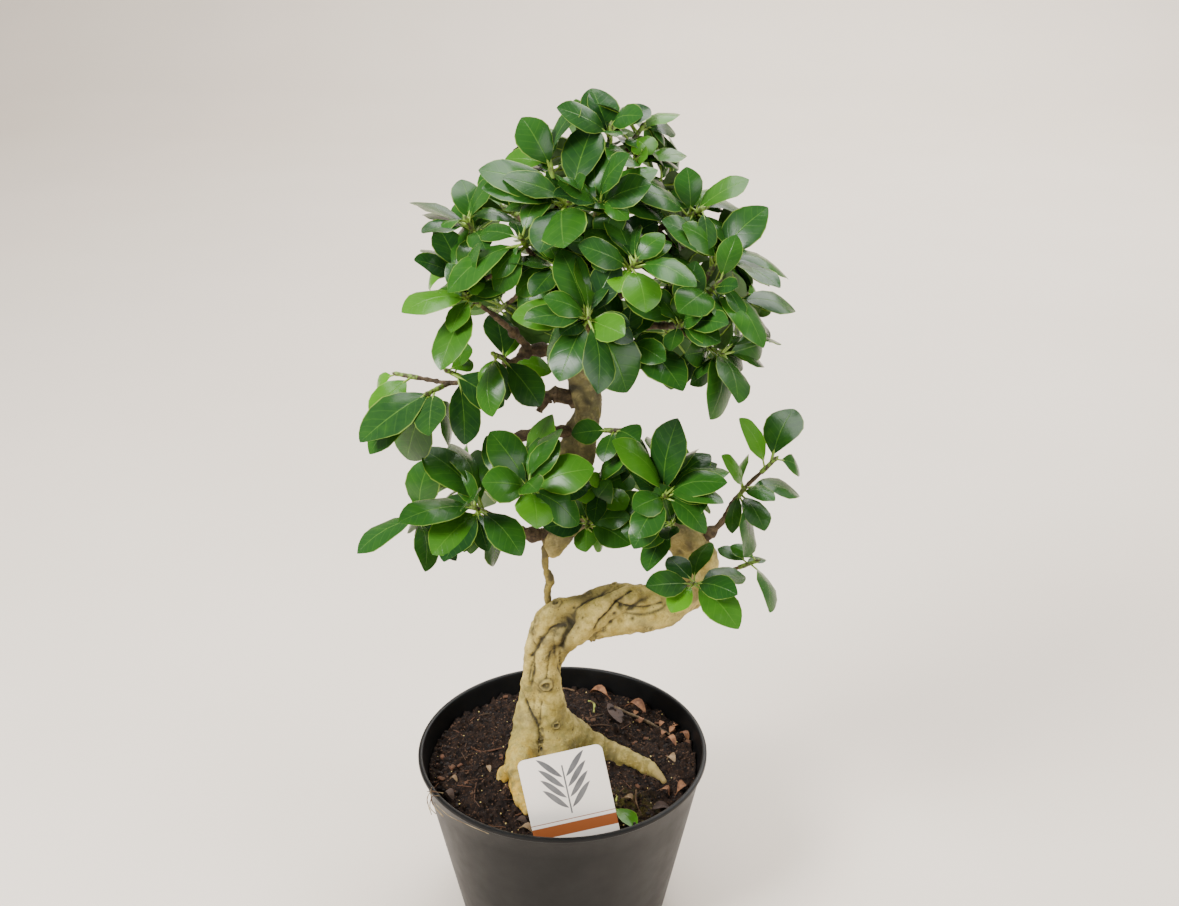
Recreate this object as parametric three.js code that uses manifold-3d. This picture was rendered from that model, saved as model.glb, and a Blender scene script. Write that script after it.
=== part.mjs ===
// A ginseng ficus grown as an S-shaped bonsai, standing in peat in a round plastic nursery pot.
// Millimetres, +Z up, the front towards -Y. The origin is the centre of the pot's underside.

import * as THREE from "three";
import { mergeVertices } from "three/addons/utils/BufferGeometryUtils.js";
import Module from "manifold-3d";

const wasm = await Module();
wasm.setup();

// The pot
const POT_HEIGHT = 140;
const RIM_RADIUS = 110;
const BASE_RADIUS = 80.5;
const POT_WALL = 2;
const POT_FLOOR = 3;
const LIP_WIDTH = 3.6;
const LIP_DEPTH = 5;
const LIP_STEP = 1.5;
const LIP_SLOPE = 0.5;
const POT_SIDES = 34;
const DRAIN_RADIUS = 5;
const DRAIN_CIRCLE = 62;
const DRAIN_COUNT = 6;
const DRAIN_SIDES = 8;

// The peat
const SOIL_LEVEL = 125;
const SOIL_GAP = 0.4;
const FACET_SLACK = 0.5;
const EDGE_DEPTH = 4;
const SOIL_SIDES = 28;
const SOIL_RINGS = 5;
const MOUND_HEIGHT = 3;
const MOUND_RADIUS = 42;
const HUMP_HEIGHT = 0.6;
const HUMP_SPACING = 14;
const HUMP_START = 30;
const HOLE_GAP = 0.5;

// The label: a card that leans back in the soil
const LABEL_WIDTH = 60.8;
const LABEL_HEIGHT = 71;
const LABEL_THICKNESS = 0.8;
const LABEL_CORNER = 5;
const LABEL_CORNER_STEPS = 4;
const LABEL_FOOT = new THREE.Vector3(-16.5, -94.7, 115.7);
const LABEL_UP = new THREE.Vector3(-0.2, 0.2116, 0.957);
const LABEL_ACROSS = new THREE.Vector3(0.984, 0.105, 0.147);

// Branches and leaves are laid out as they show from the front. A row [across, up, depth] is the
// point at that depth (y) on the sight line from EYE through [across, up] on the plane y = 0.
const EYE = new THREE.Vector3(20.5, -884, 784);

// The trunk's centre line from the root crown up to the fork, with its radius last
const TRUNK = [
  [-10, 102, 0, 24],
  [-12, 128, 0, 23.5],
  [-14, 155, 0, 20.5],
  [-14, 178, 0, 18],
  [-14, 195, 0, 15.8],
  [-13.5, 212, -2, 14],
  [-10, 230, -4, 15.5],
  [-1, 245, -6, 20],
  [18, 252, -8, 18.5],
  [40, 261, -6, 18],
  [62, 261, -2, 17.2],
  [79, 265, 2, 16.5],
  [92, 276, 6, 16.5],
  [97, 297, 8, 15],
  [88, 318, 10, 14.2],
  [67, 334, 12, 14],
  [42, 340, 12, 14],
  [18, 337, 9, 14],
  [1, 335, 4, 13.5],
  [-5, 348, 0, 13],
  [1, 366, -2, 13],
  [11, 382, -2, 13],
  [16, 398, 0, 12.3],
  [19.5, 415, 0, 10.8],
  [17, 433, 0, 10.5],
];
const TRUNK_SIDES = 15;
const TRUNK_STEPS = 36;
const TRUNK_LOBES = 3;
const LOBE_DEPTH = 0.17;
const LOBE_TURNS = 1.7;

// Round pieces of wood: a centre line laid out like the trunk's, radius last
const LIMBS = {
  leader: [[17, 428, 0, 9], [14, 448, 2, 8.6], [15, 475, 5, 7.4], [19, 505, 5, 6.2],
    [24, 535, 3, 5], [29, 562, 0, 4], [33, 590, 0, 2.6]],
  root_front_left: [[-20, 165, -4, 12], [-29, 141, -16, 11.5], [-34, 120, -34, 9.5],
    [-33, 98, -50, 7.5], [-29, 77, -64, 3.6]],
  root_knob: [[-31, 124, -24, 6.5], [-43, 113, -20, 6.2], [-48, 107, -22, 3]],
  root_right: [[0, 152, 0, 14], [20, 139, 4, 11], [38, 132, 5, 8.2], [55, 125, -3, 6.2],
    [70, 116, -14, 4.6], [82, 104, -25, 2.4]],
  root_back_left: [[-16, 150, 10, 13], [-28, 137, 32, 9.5], [-42, 126, 52, 5]],
  root_back_right: [[2, 150, 10, 13], [15, 134, 34, 9], [24, 122, 54, 4.5]],
  root_front: [[-8, 145, -8, 14], [-3, 112, -30, 10.5], [4, 80, -50, 5]],
  aerial_root: [[-8, 322, 1, 4.6], [-11, 306, 0, 2.9], [-11, 294, 0, 2.4], [-8, 284, 0, 3.4],
    [-10, 275, -1, 2.4], [-9, 254, -2, 2.9]],
  knob_under_bend: [[4, 332, 4, 9], [-3, 317, 1, 9.5], [-6, 308, 0, 5]],
  stub_upper: [[14, 424, 0, 6.5], [0, 428, -3, 5.2], [-8, 427, -5, 4.6], [-14, 416, -7, 3.2]],
  stub_lower: [[10, 400, 0, 6], [-6, 402, -5, 4.4], [-18, 399, -8, 5], [-34, 397, -12, 2.2]],
  branch_left: [[15, 444, 2, 6.5], [-5, 459, -4, 4.4], [-20, 460, -8, 3.9], [-30, 453, -16, 3.1],
    [-39, 449, -24, 2.6]],
  branch_left_upper: [[-19, 460, -8, 3.6], [-30, 473, -20, 3], [-42, 484, -32, 2.7]],
  branch_left_twig: [[-39, 449, -24, 2.4], [-54, 440, -22, 2.4], [-70, 437, -21, 2.3],
    [-84, 438, -19, 2.1]],
  branch_upper_left: [[14, 468, 5, 5.4], [2, 498, -4, 4.4], [-10, 522, -14, 3.6],
    [-6, 545, -22, 3]],
  branch_far_left: [[0, 500, -5, 3.8], [-22, 508, -8, 3.2], [-40, 520, -10, 2.6]],
  branch_right: [[15, 472, 5, 5.6], [38, 482, -4, 4.4], [60, 478, -18, 3.6], [78, 478, -32, 3]],
  branch_upper_right: [[24, 532, 3, 4], [48, 540, 0, 3.2], [68, 545, -6, 2.7]],
  branch_far_right: [[96, 305, 8, 7], [103, 319, 6, 4.2], [114, 331, 3, 3], [121, 347, 0, 2.7]],
  branch_lower_left: [[6, 328, 4, 7], [-16, 321, 0, 5], [-32, 327, -12, 3.6],
    [-46, 336, -26, 2.8]],
  branch_back: [[15, 455, 4, 6], [10, 462, 30, 4.6], [-2, 480, 55, 3.2]],
  branch_back_right: [[18, 480, 5, 5.4], [42, 500, 28, 4], [68, 510, 50, 3]],
};
const LIMB_SIDES = 5;
const LIMB_STEP = 20;
const LIMB_LEAST_STEPS = 3;

// Twigs that carry the sprays
const TWIG_SIDES = 3;
const TWIG_STEPS = 2;
const TWIG_START_RADIUS = 2.8;
const TWIG_END_RADIUS = 2.2;
const SHOOT_GAP = 0.35;
const SHOOT_RADIUS = 2.1;
const SHOOT_LENGTH = 16;
const SHOOT_SHOULDER = 0.75;
const SHOOT_TAPER = 0.8;

// Leaves
const STALK_SHARE = 0.17;
const STALK_RADIUS = 0.85;
const STALK_FLARE = 0.03;
const BLADE = [[0.46, 0.48], [0.79, 0.41]];
const ROOT_DEPTH = 0.7;
const BLADE_THICKNESS = 1.6;
const LEAF_SLIMNESS = 0.47;
const LEAF_ARCH = 0.07;
const LEAF_FOLD = 0.22;
const SEEN_SPAN = [0.15, 0.8];
const RULED_SPAN = [0.1, 0.86];
const CLEARANCE = 0.4;
const POSES = 30;
const POSE_STEP = 0.06;
const POSE_SHRINK = 0.011;
const GOLDEN_ANGLE = 2.399963;

// The sprays that show from the front. path: where the twig leaves the wood, and where it ends.
// leaves: across and up of the tip, the length (below zero when the tip comes towards the front),
// and the width that shows.
const FRONT_SPRAYS = {
  apex: {
    path: [[32, 585, 0], [33, 597, 0]],
    leaves: [[22, 633, 38, 24], [0, 621, -42, 15], [58, 621, 36, 14], [54, 616, -34, 13]],
  },
  apex_right: {
    path: [[29, 566, 0], [38, 585, 8], [47, 599, 12]],
    leaves: [[60, 592, -22, 16], [77, 617, 34, 8], [74, 606, 32, 10], [68, 598, 28, 8]],
  },
  apex_low: {
    path: [[28, 560, 1], [38, 574, -2], [46, 583, -4]],
    leaves: [[82, 591, 38, 9], [77, 583, 32, 7], [57, 590, -20, 12], [48, 603, 26, 14]],
    fill: 1,
  },
  upper_left_tip: {
    path: [[-6, 545, -22], [0, 562, -24], [-3, 578, -22]],
    leaves: [[-22, 615, 36, 23], [-33, 589, 32, 16], [-8, 598, 22, 12]],
    fill: 1,
  },
  upper_left: {
    path: [[-7, 542, -21], [3, 556, -30]],
    leaves: [[4, 531, -44, 30], [-12, 528, -46, 24], [-34, 556, 40, 11], [-35, 577, -44, 16],
      [23, 610, 52, 26], [18, 578, -24, 7]],
    fill: 1,
  },
  upper_mid: {
    path: [[24, 534, 3], [25, 546, -18], [26, 554, -30]],
    leaves: [[30, 600, 46, 26], [64, 582, -42, 17], [60, 573, -42, 19], [70, 550, 46, 14],
      [46, 550, -24, 12], [10, 574, 30, 14]],
    fill: 2,
  },
  far_left: {
    path: [[-38, 519, -10], [-48, 530, -12], [-53, 539, -13]],
    leaves: [[-61, 576, 38, 20], [-95, 561, 44, 8], [-87, 553, 38, 8], [-88, 541, -38, 9],
      [-40, 576, -36, 9], [-43, 571, 34, 13], [-27, 549, 30, 9]],
    fill: 1,
  },
  left_mid: {
    path: [[-36, 516, -10], [-50, 510, -18], [-60, 511, -23]],
    leaves: [[-77, 545, 38, 21], [-51, 537, -28, 17], [-94, 523, -36, 13], [-57, 541, 34, 14],
      [-88, 530, 34, 8], [-85, 507, 28, 11]],
    fill: 1,
  },
  left_front: {
    path: [[-10, 522, -14], [-18, 528, -32], [-21, 533, -42]],
    leaves: [[-73, 501, -56, 17], [-37, 513, 26, 10], [-50, 541, 34, 14], [-28, 549, 20, 10]],
  },
  left_low: {
    path: [[-40, 483, -31], [-53, 493, -42]],
    leaves: [[-80, 446, -52, 22], [-104, 487, -50, 15], [-72, 473, -30, 14], [-33, 503, -28, 11],
      [-46, 505, -16, 8]],
    fill: 1,
  },
  front: {
    path: [[15, 478, 5], [17, 480, -35], [19, 482, -64]],
    leaves: [[46, 430, -50, 36], [1, 530, 44, 24], [44, 471, -32, 21], [-10, 497, -34, 14],
      [0, 438, -44, 26], [-23, 482, -44, 16], [30, 516, 34, 17], [-31, 484, 46, 22],
      [12, 526, 40, 13], [26, 429, -50, 20]],
  },
  centre_right: {
    path: [[19, 503, 5], [34, 497, -30], [46, 515, -52]],
    leaves: [[13, 533, -40, 18], [39, 501, -20, 20], [58, 487, -34, 25], [91, 505, -44, 16],
      [69, 540, -26, 16], [77, 523, 30, 12], [34, 541, 28, 8], [52, 546, 28, 8]],
  },
  right_top: {
    path: [[66, 544, -6], [76, 547, -10], [83, 551, -14]],
    leaves: [[82, 584, 30, 18], [122, 576, 42, 14], [99, 570, 30, 12], [68, 566, 28, 14],
      [118, 556, 40, 9], [97, 530, -30, 12]],
    fill: 2,
  },
  right: {
    path: [[76, 478, -31], [90, 496, -32], [99, 514, -28]],
    leaves: [[135, 558, 50, 24], [118, 550, 38, 13], [67, 549, -50, 13], [80, 546, -40, 11],
      [151, 510, 50, 10], [146, 504, -46, 9], [139, 505, 38, 7]],
  },
  right_mid: {
    path: [[77, 478, -32], [90, 490, -40], [97, 498, -42]],
    leaves: [[137, 462, -52, 18], [118, 505, -26, 10], [122, 484, -30, 9]],
    fill: 2,
  },
  right_out: {
    path: [[72, 478, -26], [94, 484, -20], [111, 493, -16]],
    leaves: [[157, 488, 46, 13], [131, 499, 24, 13]],
    fill: 1,
  },
  right_low: {
    path: [[74, 478, -28], [79, 478, -46]],
    leaves: [[75, 460, -24, 13], [108, 466, -34, 17], [92, 470, 26, 14], [113, 479, -38, 14]],
    fill: 2,
  },
  right_under: {
    path: [[76, 478, -30], [88, 470, -36], [98, 464, -40]],
    leaves: [[103, 410, -56, 17], [122, 422, -52, 14], [138, 449, 42, 10], [124, 449, 30, 11],
      [148, 464, 50, 9], [93, 440, -30, 9]],
    fill: 1,
  },
  centre_low: {
    path: [[36, 481, -3], [41, 473, -24], [44, 468, -38]],
    leaves: [[84, 431, -58, 23], [62, 490, 30, 16], [66, 466, 30, 15]],
    fill: 2,
  },
  left_twig_end: {
    path: [[-82, 438, -19], [-97, 441, -17]],
    leaves: [[-129, 411, -42, 20], [-124, 431, 28, 9]],
  },
  left_twig_mid: {
    path: [[-74, 437, -20], [-80, 434, -26]],
    leaves: [[-138, 393, -64, 26], [-90, 398, -42, 21], [-106, 380, 58, 30], [-76, 391, 50, 14]],
  },
  left_twig_inner: {
    path: [[-60, 438, -22], [-66, 441, -26]],
    leaves: [[-66, 391, -48, 21], [-62, 466, 26, 14], [-38, 420, 34, 24], [-58, 452, 24, 12]],
  },
  left_node: {
    path: [[-32, 452, -18], [-38, 455, -28]],
    leaves: [[-13, 420, -40, 23], [-52, 433, -22, 12], [-43, 421, -34, 13], [-36, 424, -28, 9]],
  },
  left_lower: {
    path: [[-44, 335, -25], [-53, 339, -36]],
    leaves: [[-96, 388, -58, 23], [-92, 305, -50, 29], [-115, 331, -60, 19], [-28, 304, -46, 24],
      [-48, 296, 48, 15], [-75, 392, 52, 16]],
    fill: 2,
  },
  left_lower_far: {
    path: [[-40, 333, -20], [-70, 336, -12], [-93, 335, -6]],
    leaves: [[-146, 306, 52, 15], [-90, 381, -48, 24], [-98, 291, -44, 15], [-75, 300, 40, 12]],
    fill: 1,
  },
  lower_front: {
    path: [[-3, 352, 0], [-13, 355, -28], [-20, 357, -50]],
    leaves: [[-5, 414, 52, 17], [-48, 401, -46, 28], [24, 373, -46, 28], [-17, 326, -34, 27],
      [-55, 362, -38, 24], [2, 403, 44, 12], [13, 329, 42, 24]],
    fill: 2,
  },
  lower_right: {
    path: [[70, 333, 12], [73, 342, -24], [73, 349, -48]],
    leaves: [[81, 411, -58, 25], [36, 394, -56, 16], [117, 362, -46, 19], [51, 341, -32, 20],
      [54, 318, -38, 22], [115, 346, -42, 13], [103, 322, -38, 16], [61, 397, 50, 12],
      [96, 388, 44, 10], [109, 377, 44, 12]],
  },
  lower_right_under: {
    path: [[70, 332, 10], [77, 331, -20], [78, 330, -34]],
    leaves: [[62, 291, -42, 18], [76, 317, -22, 14]],
    fill: 2,
  },
  under_mid: {
    path: [[22, 337, 10], [21, 334, -12], [20, 331, -22]],
    leaves: [[18, 307, -24, 17], [50, 313, -36, 22], [29, 308, 24, 11]],
    fill: 1,
  },
  mid_inner: {
    path: [[36, 340, 12], [30, 350, -8], [29, 354, -14]],
    leaves: [[46, 341, -28, 18], [20, 340, -24, 14], [10, 350, -24, 14], [52, 366, 28, 20],
      [48, 379, 36, 13], [20, 368, -20, 9]],
    fill: 2,
  },
  centre_pair: {
    path: [[19, 408, 0], [26, 402, -12], [32, 402, -16]],
    leaves: [[8, 399, -26, 18], [55, 393, -26, 19], [38, 383, -18, 8]],
  },
  right_sprig_end: {
    path: [[120, 345, 0], [130, 359, -2], [141, 371, -4]],
    leaves: [[123, 411, -42, 13], [160, 418, 46, 26], [167, 370, 30, 12]],
  },
  right_sprig_mid: {
    path: [[119, 341, 0], [125, 351, -10]],
    leaves: [[131, 303, -52, 9], [145, 324, -38, 16], [151, 348, -30, 11], [112, 383, -34, 9],
      [130, 383, 34, 9], [168, 352, 44, 12]],
  },
  right_lower_sprig: {
    path: [[94, 283, 7], [112, 288, 8], [129, 295, 5]],
    leaves: [[147, 301, 20, 6], [152, 257, -46, 9], [121, 312, 22, 9]],
  },
  bottom_right: {
    path: [[90, 280, 4], [93, 281, -20], [95, 281, -32]],
    leaves: [[130, 243, -50, 24], [107, 315, 36, 15], [61, 279, -38, 20], [80, 257, -28, 18],
      [128, 272, -38, 18], [77, 303, 30, 17], [133, 287, 42, 14]],
  },
};

// The sprays behind and inside: leafy stems with `fill` leaves set round each by the golden angle.
const REAR_SPRAYS = {
  rear_top: { path: [[29, 563, 0], [24, 574, 14], [20, 584, 24]], stem: 20, fill: 8 },
  rear_top_right: { path: [[27, 552, 1], [45, 562, 24], [60, 570, 38]], stem: 24, fill: 9 },
  rear_upper_left: {
    path: [[-8, 540, -18], [-20, 548, 2], [-26, 552, 14]],
    leaves: [[-46, 583, 38, 22]],
    stem: 26,
    fill: 8,
  },
  rear_left: { path: [[-20, 507, -8], [-28, 498, 12], [-34, 493, 24]], stem: 28, fill: 10 },
  rear_middle: { path: [[-1, 478, 52], [-2, 496, 68], [0, 512, 78]], stem: 30, fill: 11 },
  rear_low: { path: [[6, 468, 38], [8, 466, 58], [10, 468, 72]], stem: 28, fill: 10 },
  rear_right_high: { path: [[66, 509, 48], [72, 524, 54], [74, 538, 58]], stem: 30, fill: 11 },
  rear_right: { path: [[67, 510, 49], [80, 506, 54], [92, 502, 56]], stem: 30, fill: 11 },
  rear_right_low: { path: [[60, 507, 44], [66, 492, 58], [70, 480, 68]], stem: 28, fill: 10 },
  rear_right_side: { path: [[64, 543, -5], [82, 530, 12], [96, 530, 20]], stem: 28, fill: 10 },
  inner_left: {
    path: [[-36, 451, -20], [-37, 452, -8], [-37, 452, 0]],
    leaves: [[-42, 487, 38, 22], [-5, 445, 34, 14], [-30, 474, 26, 14]],
    stem: 16,
  },
  inner_middle: { path: [[20, 510, 5], [24, 515, -12], [26, 520, -22]], stem: 22, fill: 8 },
  inner_left_high: {
    path: [[0, 500, -5], [3, 508, -22], [2, 515, -36]],
    leaves: [[-33, 521, -38, 7], [-38, 513, 44, 16], [-28, 499, 34, 15]],
    stem: 16,
    fill: 4,
  },
  inner_right: { path: [[60, 479, -18], [66, 490, -12], [72, 500, -9]], stem: 24, fill: 9 },
  lower_rear_left: { path: [[-3, 348, 2], [-26, 352, 20], [-46, 356, 28]], stem: 30, fill: 11 },
  lower_rear_middle: { path: [[20, 338, 10], [16, 346, 32], [14, 352, 44]], stem: 26, fill: 9 },
  lower_rear_right: { path: [[66, 334, 12], [72, 344, 30], [78, 352, 42]], stem: 28, fill: 10 },
};

// The outlines that the crown fills as it shows from the front. Leaves set by a rule stay inside.
const UPPER_CROWN = [[0, 600], [3, 618], [12, 627], [22, 632], [32, 628], [37, 618], [45, 618],
  [57, 620], [58, 613], [75, 616], [74, 606], [80, 590], [66, 584], [82, 583], [90, 575], [96, 570],
  [118, 574], [103, 560], [118, 556], [134, 556], [128, 540], [114, 522], [150, 511], [130, 500],
  [152, 488], [136, 482], [146, 466], [128, 462], [138, 449], [112, 450], [119, 430], [114, 424],
  [105, 438], [101, 414], [88, 434], [72, 431], [62, 438], [50, 444], [38, 431], [4, 438],
  [-8, 452], [-22, 470], [-40, 472], [-42, 485], [-60, 488], [-68, 470], [-77, 450], [-80, 470],
  [-80, 486], [-100, 488], [-72, 503], [-86, 508], [-80, 520], [-90, 523], [-80, 532], [-86, 541],
  [-92, 560], [-75, 560], [-65, 574], [-50, 566], [-45, 580], [-30, 584], [-30, 600], [-22, 613],
  [-8, 611], [-3, 598]];
const LOWER_CROWN = [[-100, 378], [-75, 388], [-58, 398], [-30, 401], [-6, 411], [4, 395],
  [18, 362], [27, 366], [36, 392], [54, 392], [62, 395], [79, 409], [90, 385], [97, 372],
  [108, 352], [106, 336], [92, 326], [76, 318], [62, 294], [50, 312], [18, 308], [0, 308],
  [-12, 312], [-28, 305], [-46, 298], [-60, 301], [-94, 293], [-100, 306], [-116, 330],
  [-106, 346]];
const REAR_LEAF_LENGTH = 49;
const REAR_LEAF_FALL = 0.2;
const REAR_LEAF_SPREAD = 0.24;
const REAR_LEAF_UPTURN = 0.5;
const REAR_LEAF_WIDTH = 0.52;
const REAR_LOWEST_TURN = 1.65;
const REAR_HIGHEST_TURN = 0.55;
const SEED = 20417;

// What lies on the peat: the leaf's stalk end and tip, its width and arch
const FALLEN = {
  fallen_leaf: { base: [38, -58, 126.6], tip: [54, -79, 125], width: 13, arch: 0.12, tone: "leaf" },
  dry_leaf_left: { base: [38, 84, 124.5], tip: [20, 92, 124.9], width: 9, arch: 0.3, tone: "dry" },
  dry_leaf_right: { base: [50, 74, 124.5], tip: [66, 64, 124.6], width: 9, arch: 0.35, tone: "dry" },
};
const DRY_TWIG = [[39.5, 174.4, 70, 1.1], [53.8, 166.8, 58, 1.3], [67.5, 159.3, 47, 1.1],
  [81.8, 149.4, 32, 0.9]];

const TONES = {
  pot: new THREE.MeshStandardMaterial({ color: 0x26282a, roughness: 0.5, metalness: 0 }),
  soil: new THREE.MeshStandardMaterial({ color: 0x2c211b, roughness: 0.95, metalness: 0 }),
  wood: new THREE.MeshStandardMaterial({ color: 0xa8966b, roughness: 0.8, metalness: 0 }),
  leaf: new THREE.MeshStandardMaterial({ color: 0x3a7024, roughness: 0.35, metalness: 0 }),
  dry: new THREE.MeshStandardMaterial({ color: 0x8a5b45, roughness: 0.8, metalness: 0 }),
  label: new THREE.MeshStandardMaterial({ color: 0xe4e2e0, roughness: 0.45, metalness: 0 }),
};

const UP = new THREE.Vector3(0, 0, 1);

const vector = (row) => new THREE.Vector3(...row);

// The point at the given depth on the sight line through [across, up].
function place([across, up, depth]) {
  const reach = 1 - depth / EYE.y;
  return new THREE.Vector3(
    EYE.x + (across - EYE.x) * reach,
    depth,
    EYE.z + (up - EYE.z) * reach,
  );
}

// A closed geometry as a solid whose faces point outwards.
function solid(geometry) {
  const bare = geometry.clone();
  bare.deleteAttribute("normal");
  bare.deleteAttribute("uv");
  const merged = mergeVertices(bare, 1e-4);
  return new wasm.Manifold(
    new wasm.Mesh({
      numProp: 3,
      vertProperties: new Float32Array(merged.attributes.position.array),
      triVerts: new Uint32Array(merged.index.array),
    }),
  );
}

function meshOf(name, made, tone) {
  const { vertProperties, triVerts } = made.getMesh();
  const geometry = new THREE.BufferGeometry();
  geometry.setAttribute("position", new THREE.BufferAttribute(vertProperties, 3));
  geometry.setIndex(new THREE.BufferAttribute(triVerts, 1));
  geometry.computeVertexNormals();
  const mesh = new THREE.Mesh(geometry, TONES[tone].clone());
  mesh.name = name;
  return mesh;
}

// A closed skin over rings of points that run anticlockwise about the way from first to last.
// A ring of one point is a tip. Neighbouring strips are split as mirror images of each other.
function loft(rings) {
  const points = rings.flat();
  const faces = [];
  let start = 0;
  for (let i = 1; i < rings.length; i++) {
    const next = start + rings[i - 1].length;
    bridge(faces, start, rings[i - 1].length, next, rings[i].length);
    start = next;
  }
  const last = rings[rings.length - 1].length;
  for (let j = 1; j < rings[0].length - 1; j++) faces.push(0, j + 1, j);
  for (let j = 1; j < last - 1; j++) faces.push(start, start + j, start + j + 1);
  const geometry = new THREE.BufferGeometry().setFromPoints(points);
  geometry.setIndex(faces);
  return solid(geometry);
}

function bridge(faces, start, count, next, nextCount) {
  const sides = Math.max(count, nextCount);
  for (let j = 0; j < sides; j++) {
    const k = (j + 1) % sides;
    const [a, b] = count === 1 ? [start, start] : [start + j, start + k];
    const [c, d] = nextCount === 1 ? [next, next] : [next + j, next + k];
    if (count === 1) faces.push(a, d, c);
    else if (nextCount === 1) faces.push(a, b, c);
    else if (j % 2) faces.push(a, b, c, b, d, c);
    else faces.push(a, b, d, a, d, c);
  }
}

// A round piece of wood along rows [across, up, depth, radius]. `grow` makes it that much larger
// all over, and `lobes` gives it that many twisted ribs.
function tube(rows, sides, steps, { grow = 0, lobes = 0 } = {}) {
  const curve = new THREE.CatmullRomCurve3(rows.map(place), false, "centripetal");
  const { tangents, normals, binormals } = curve.computeFrenetFrames(steps, false);
  const rings = [];
  for (let i = 0; i <= steps; i++) {
    const share = i / steps;
    const centre = curve.getPointAt(share);
    if (i === 0) centre.addScaledVector(tangents[i], -grow);
    if (i === steps) centre.addScaledVector(tangents[i], grow);
    const radius = radiusAt(rows, curve.getUtoTmapping(share)) + grow;
    const ring = [];
    for (let j = 0; j < sides; j++) {
      const angle = (j / sides) * 2 * Math.PI;
      const twist = lobes * angle + LOBE_TURNS * 2 * Math.PI * share;
      const reach = radius * (1 + (lobes ? LOBE_DEPTH * Math.cos(twist) : 0));
      const point = centre.clone();
      point.addScaledVector(normals[i], reach * Math.cos(angle));
      point.addScaledVector(binormals[i], reach * Math.sin(angle));
      ring.push(point);
    }
    rings.push(ring);
  }
  return loft(rings);
}

function radiusAt(rows, share) {
  const spot = share * (rows.length - 1);
  const low = Math.min(Math.floor(spot), rows.length - 2);
  return THREE.MathUtils.lerp(rows[low][3], rows[low + 1][3], spot - low);
}

function lengthOf(rows) {
  const points = rows.map(place);
  return points.slice(1).reduce((sum, point, i) => sum + point.distanceTo(points[i]), 0);
}

const limb = (rows, options) =>
  tube(rows, LIMB_SIDES, Math.max(LIMB_LEAST_STEPS, Math.round(lengthOf(rows) / LIMB_STEP)), options);

// A twig's rows with their radii, and the point and direction at its end.
function twigOf(path) {
  const rows = path.map((row, i) => {
    const share = i / (path.length - 1);
    return [...row, THREE.MathUtils.lerp(TWIG_START_RADIUS, TWIG_END_RADIUS, share)];
  });
  const curve = new THREE.CatmullRomCurve3(path.map(place), false, "centripetal");
  return { rows, end: curve.getPoint(1), way: curve.getTangent(1) };
}

// The rings of a leaf: from its root through the stalk to the blade, whose midrib is a keel below.
function leafRings({ base, tip, normal, width, arch = LEAF_ARCH }, grow = 0) {
  const line = tip.clone().sub(base);
  const length = line.length();
  const way = line.normalize();
  const side = way.clone().cross(normal).normalize();
  const up = side.clone().cross(way);
  const ring = (share, halfWidth) => {
    const middle = base.clone().addScaledVector(way, length * share);
    middle.addScaledVector(up, arch * length * Math.sin(Math.PI * share));
    const lift = Math.max(0, halfWidth - STALK_RADIUS) * LEAF_FOLD;
    const offset = (across, above) =>
      middle.clone().addScaledVector(side, across).addScaledVector(up, above);
    const half = halfWidth + grow;
    const keel = lift - BLADE_THICKNESS - grow;
    return [offset(half, lift + grow), offset(0, keel), offset(-half, lift + grow)];
  };
  return [
    [base.clone().addScaledVector(way, -ROOT_DEPTH)],
    ring(STALK_SHARE, STALK_FLARE * width + STALK_RADIUS),
    ...BLADE.map(([share, half]) => ring(share, half * width)),
    [tip.clone().addScaledVector(way, grow)],
  ];
}

// The leaf whose tip shows at [across, up]: turned to the front until the width that shows is as
// wide as its row says, and otherwise turned upwards.
function seenLeaf(base, [across, up, reach, width]) {
  const sight = place([across, up, 0]).sub(EYE).normalize();
  const foot = EYE.clone().addScaledVector(sight, base.clone().sub(EYE).dot(sight));
  const spare = Math.sqrt(Math.max(0, reach ** 2 - foot.distanceToSquared(base)));
  const tip = foot.addScaledVector(sight, Math.sign(reach) * spare);
  const length = tip.distanceTo(base);
  const way = tip.clone().sub(base).normalize();
  const towards = EYE.clone().sub(tip).normalize();
  const facing = towards.addScaledVector(way, -towards.dot(way)).normalize();
  const scale = 1 - base.y / EYE.y;
  const trueWidth = Math.max(width * scale, LEAF_SLIMNESS * length);
  const turn = Math.acos(Math.min(1, (width * scale) / trueWidth));
  const edge = way.clone().cross(facing);
  if (edge.z < 0) edge.negate();
  const normal = facing.multiplyScalar(Math.cos(turn)).addScaledVector(edge, Math.sin(turn));
  return { base, tip, normal, width: trueWidth };
}

// Leaf number `index` of `count` round a shoot, the lowest spread widest.
function ruledLeaf(base, way, index, count, random) {
  const share = index / Math.max(1, count - 1);
  const spread = THREE.MathUtils.lerp(REAR_LOWEST_TURN, REAR_HIGHEST_TURN, share);
  const tilt = spread + REAR_LEAF_SPREAD * (random() - 0.5);
  const round = index * GOLDEN_ANGLE + random();
  const side = way.clone().cross(UP).normalize();
  const top = side.clone().cross(way);
  const out = side.multiplyScalar(Math.cos(round)).addScaledVector(top, Math.sin(round));
  const line = way.clone().multiplyScalar(Math.cos(tilt)).addScaledVector(out, Math.sin(tilt));
  const size = 1 + REAR_LEAF_SPREAD * (random() - 0.5) - REAR_LEAF_FALL * share;
  const length = REAR_LEAF_LENGTH * size;
  const tip = base.clone().addScaledVector(line, length);
  const normal = way.clone().addScaledVector(UP, REAR_LEAF_UPTURN);
  normal.addScaledVector(line, -normal.dot(line)).normalize();
  return { base, tip, normal, width: REAR_LEAF_WIDTH * length };
}

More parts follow.
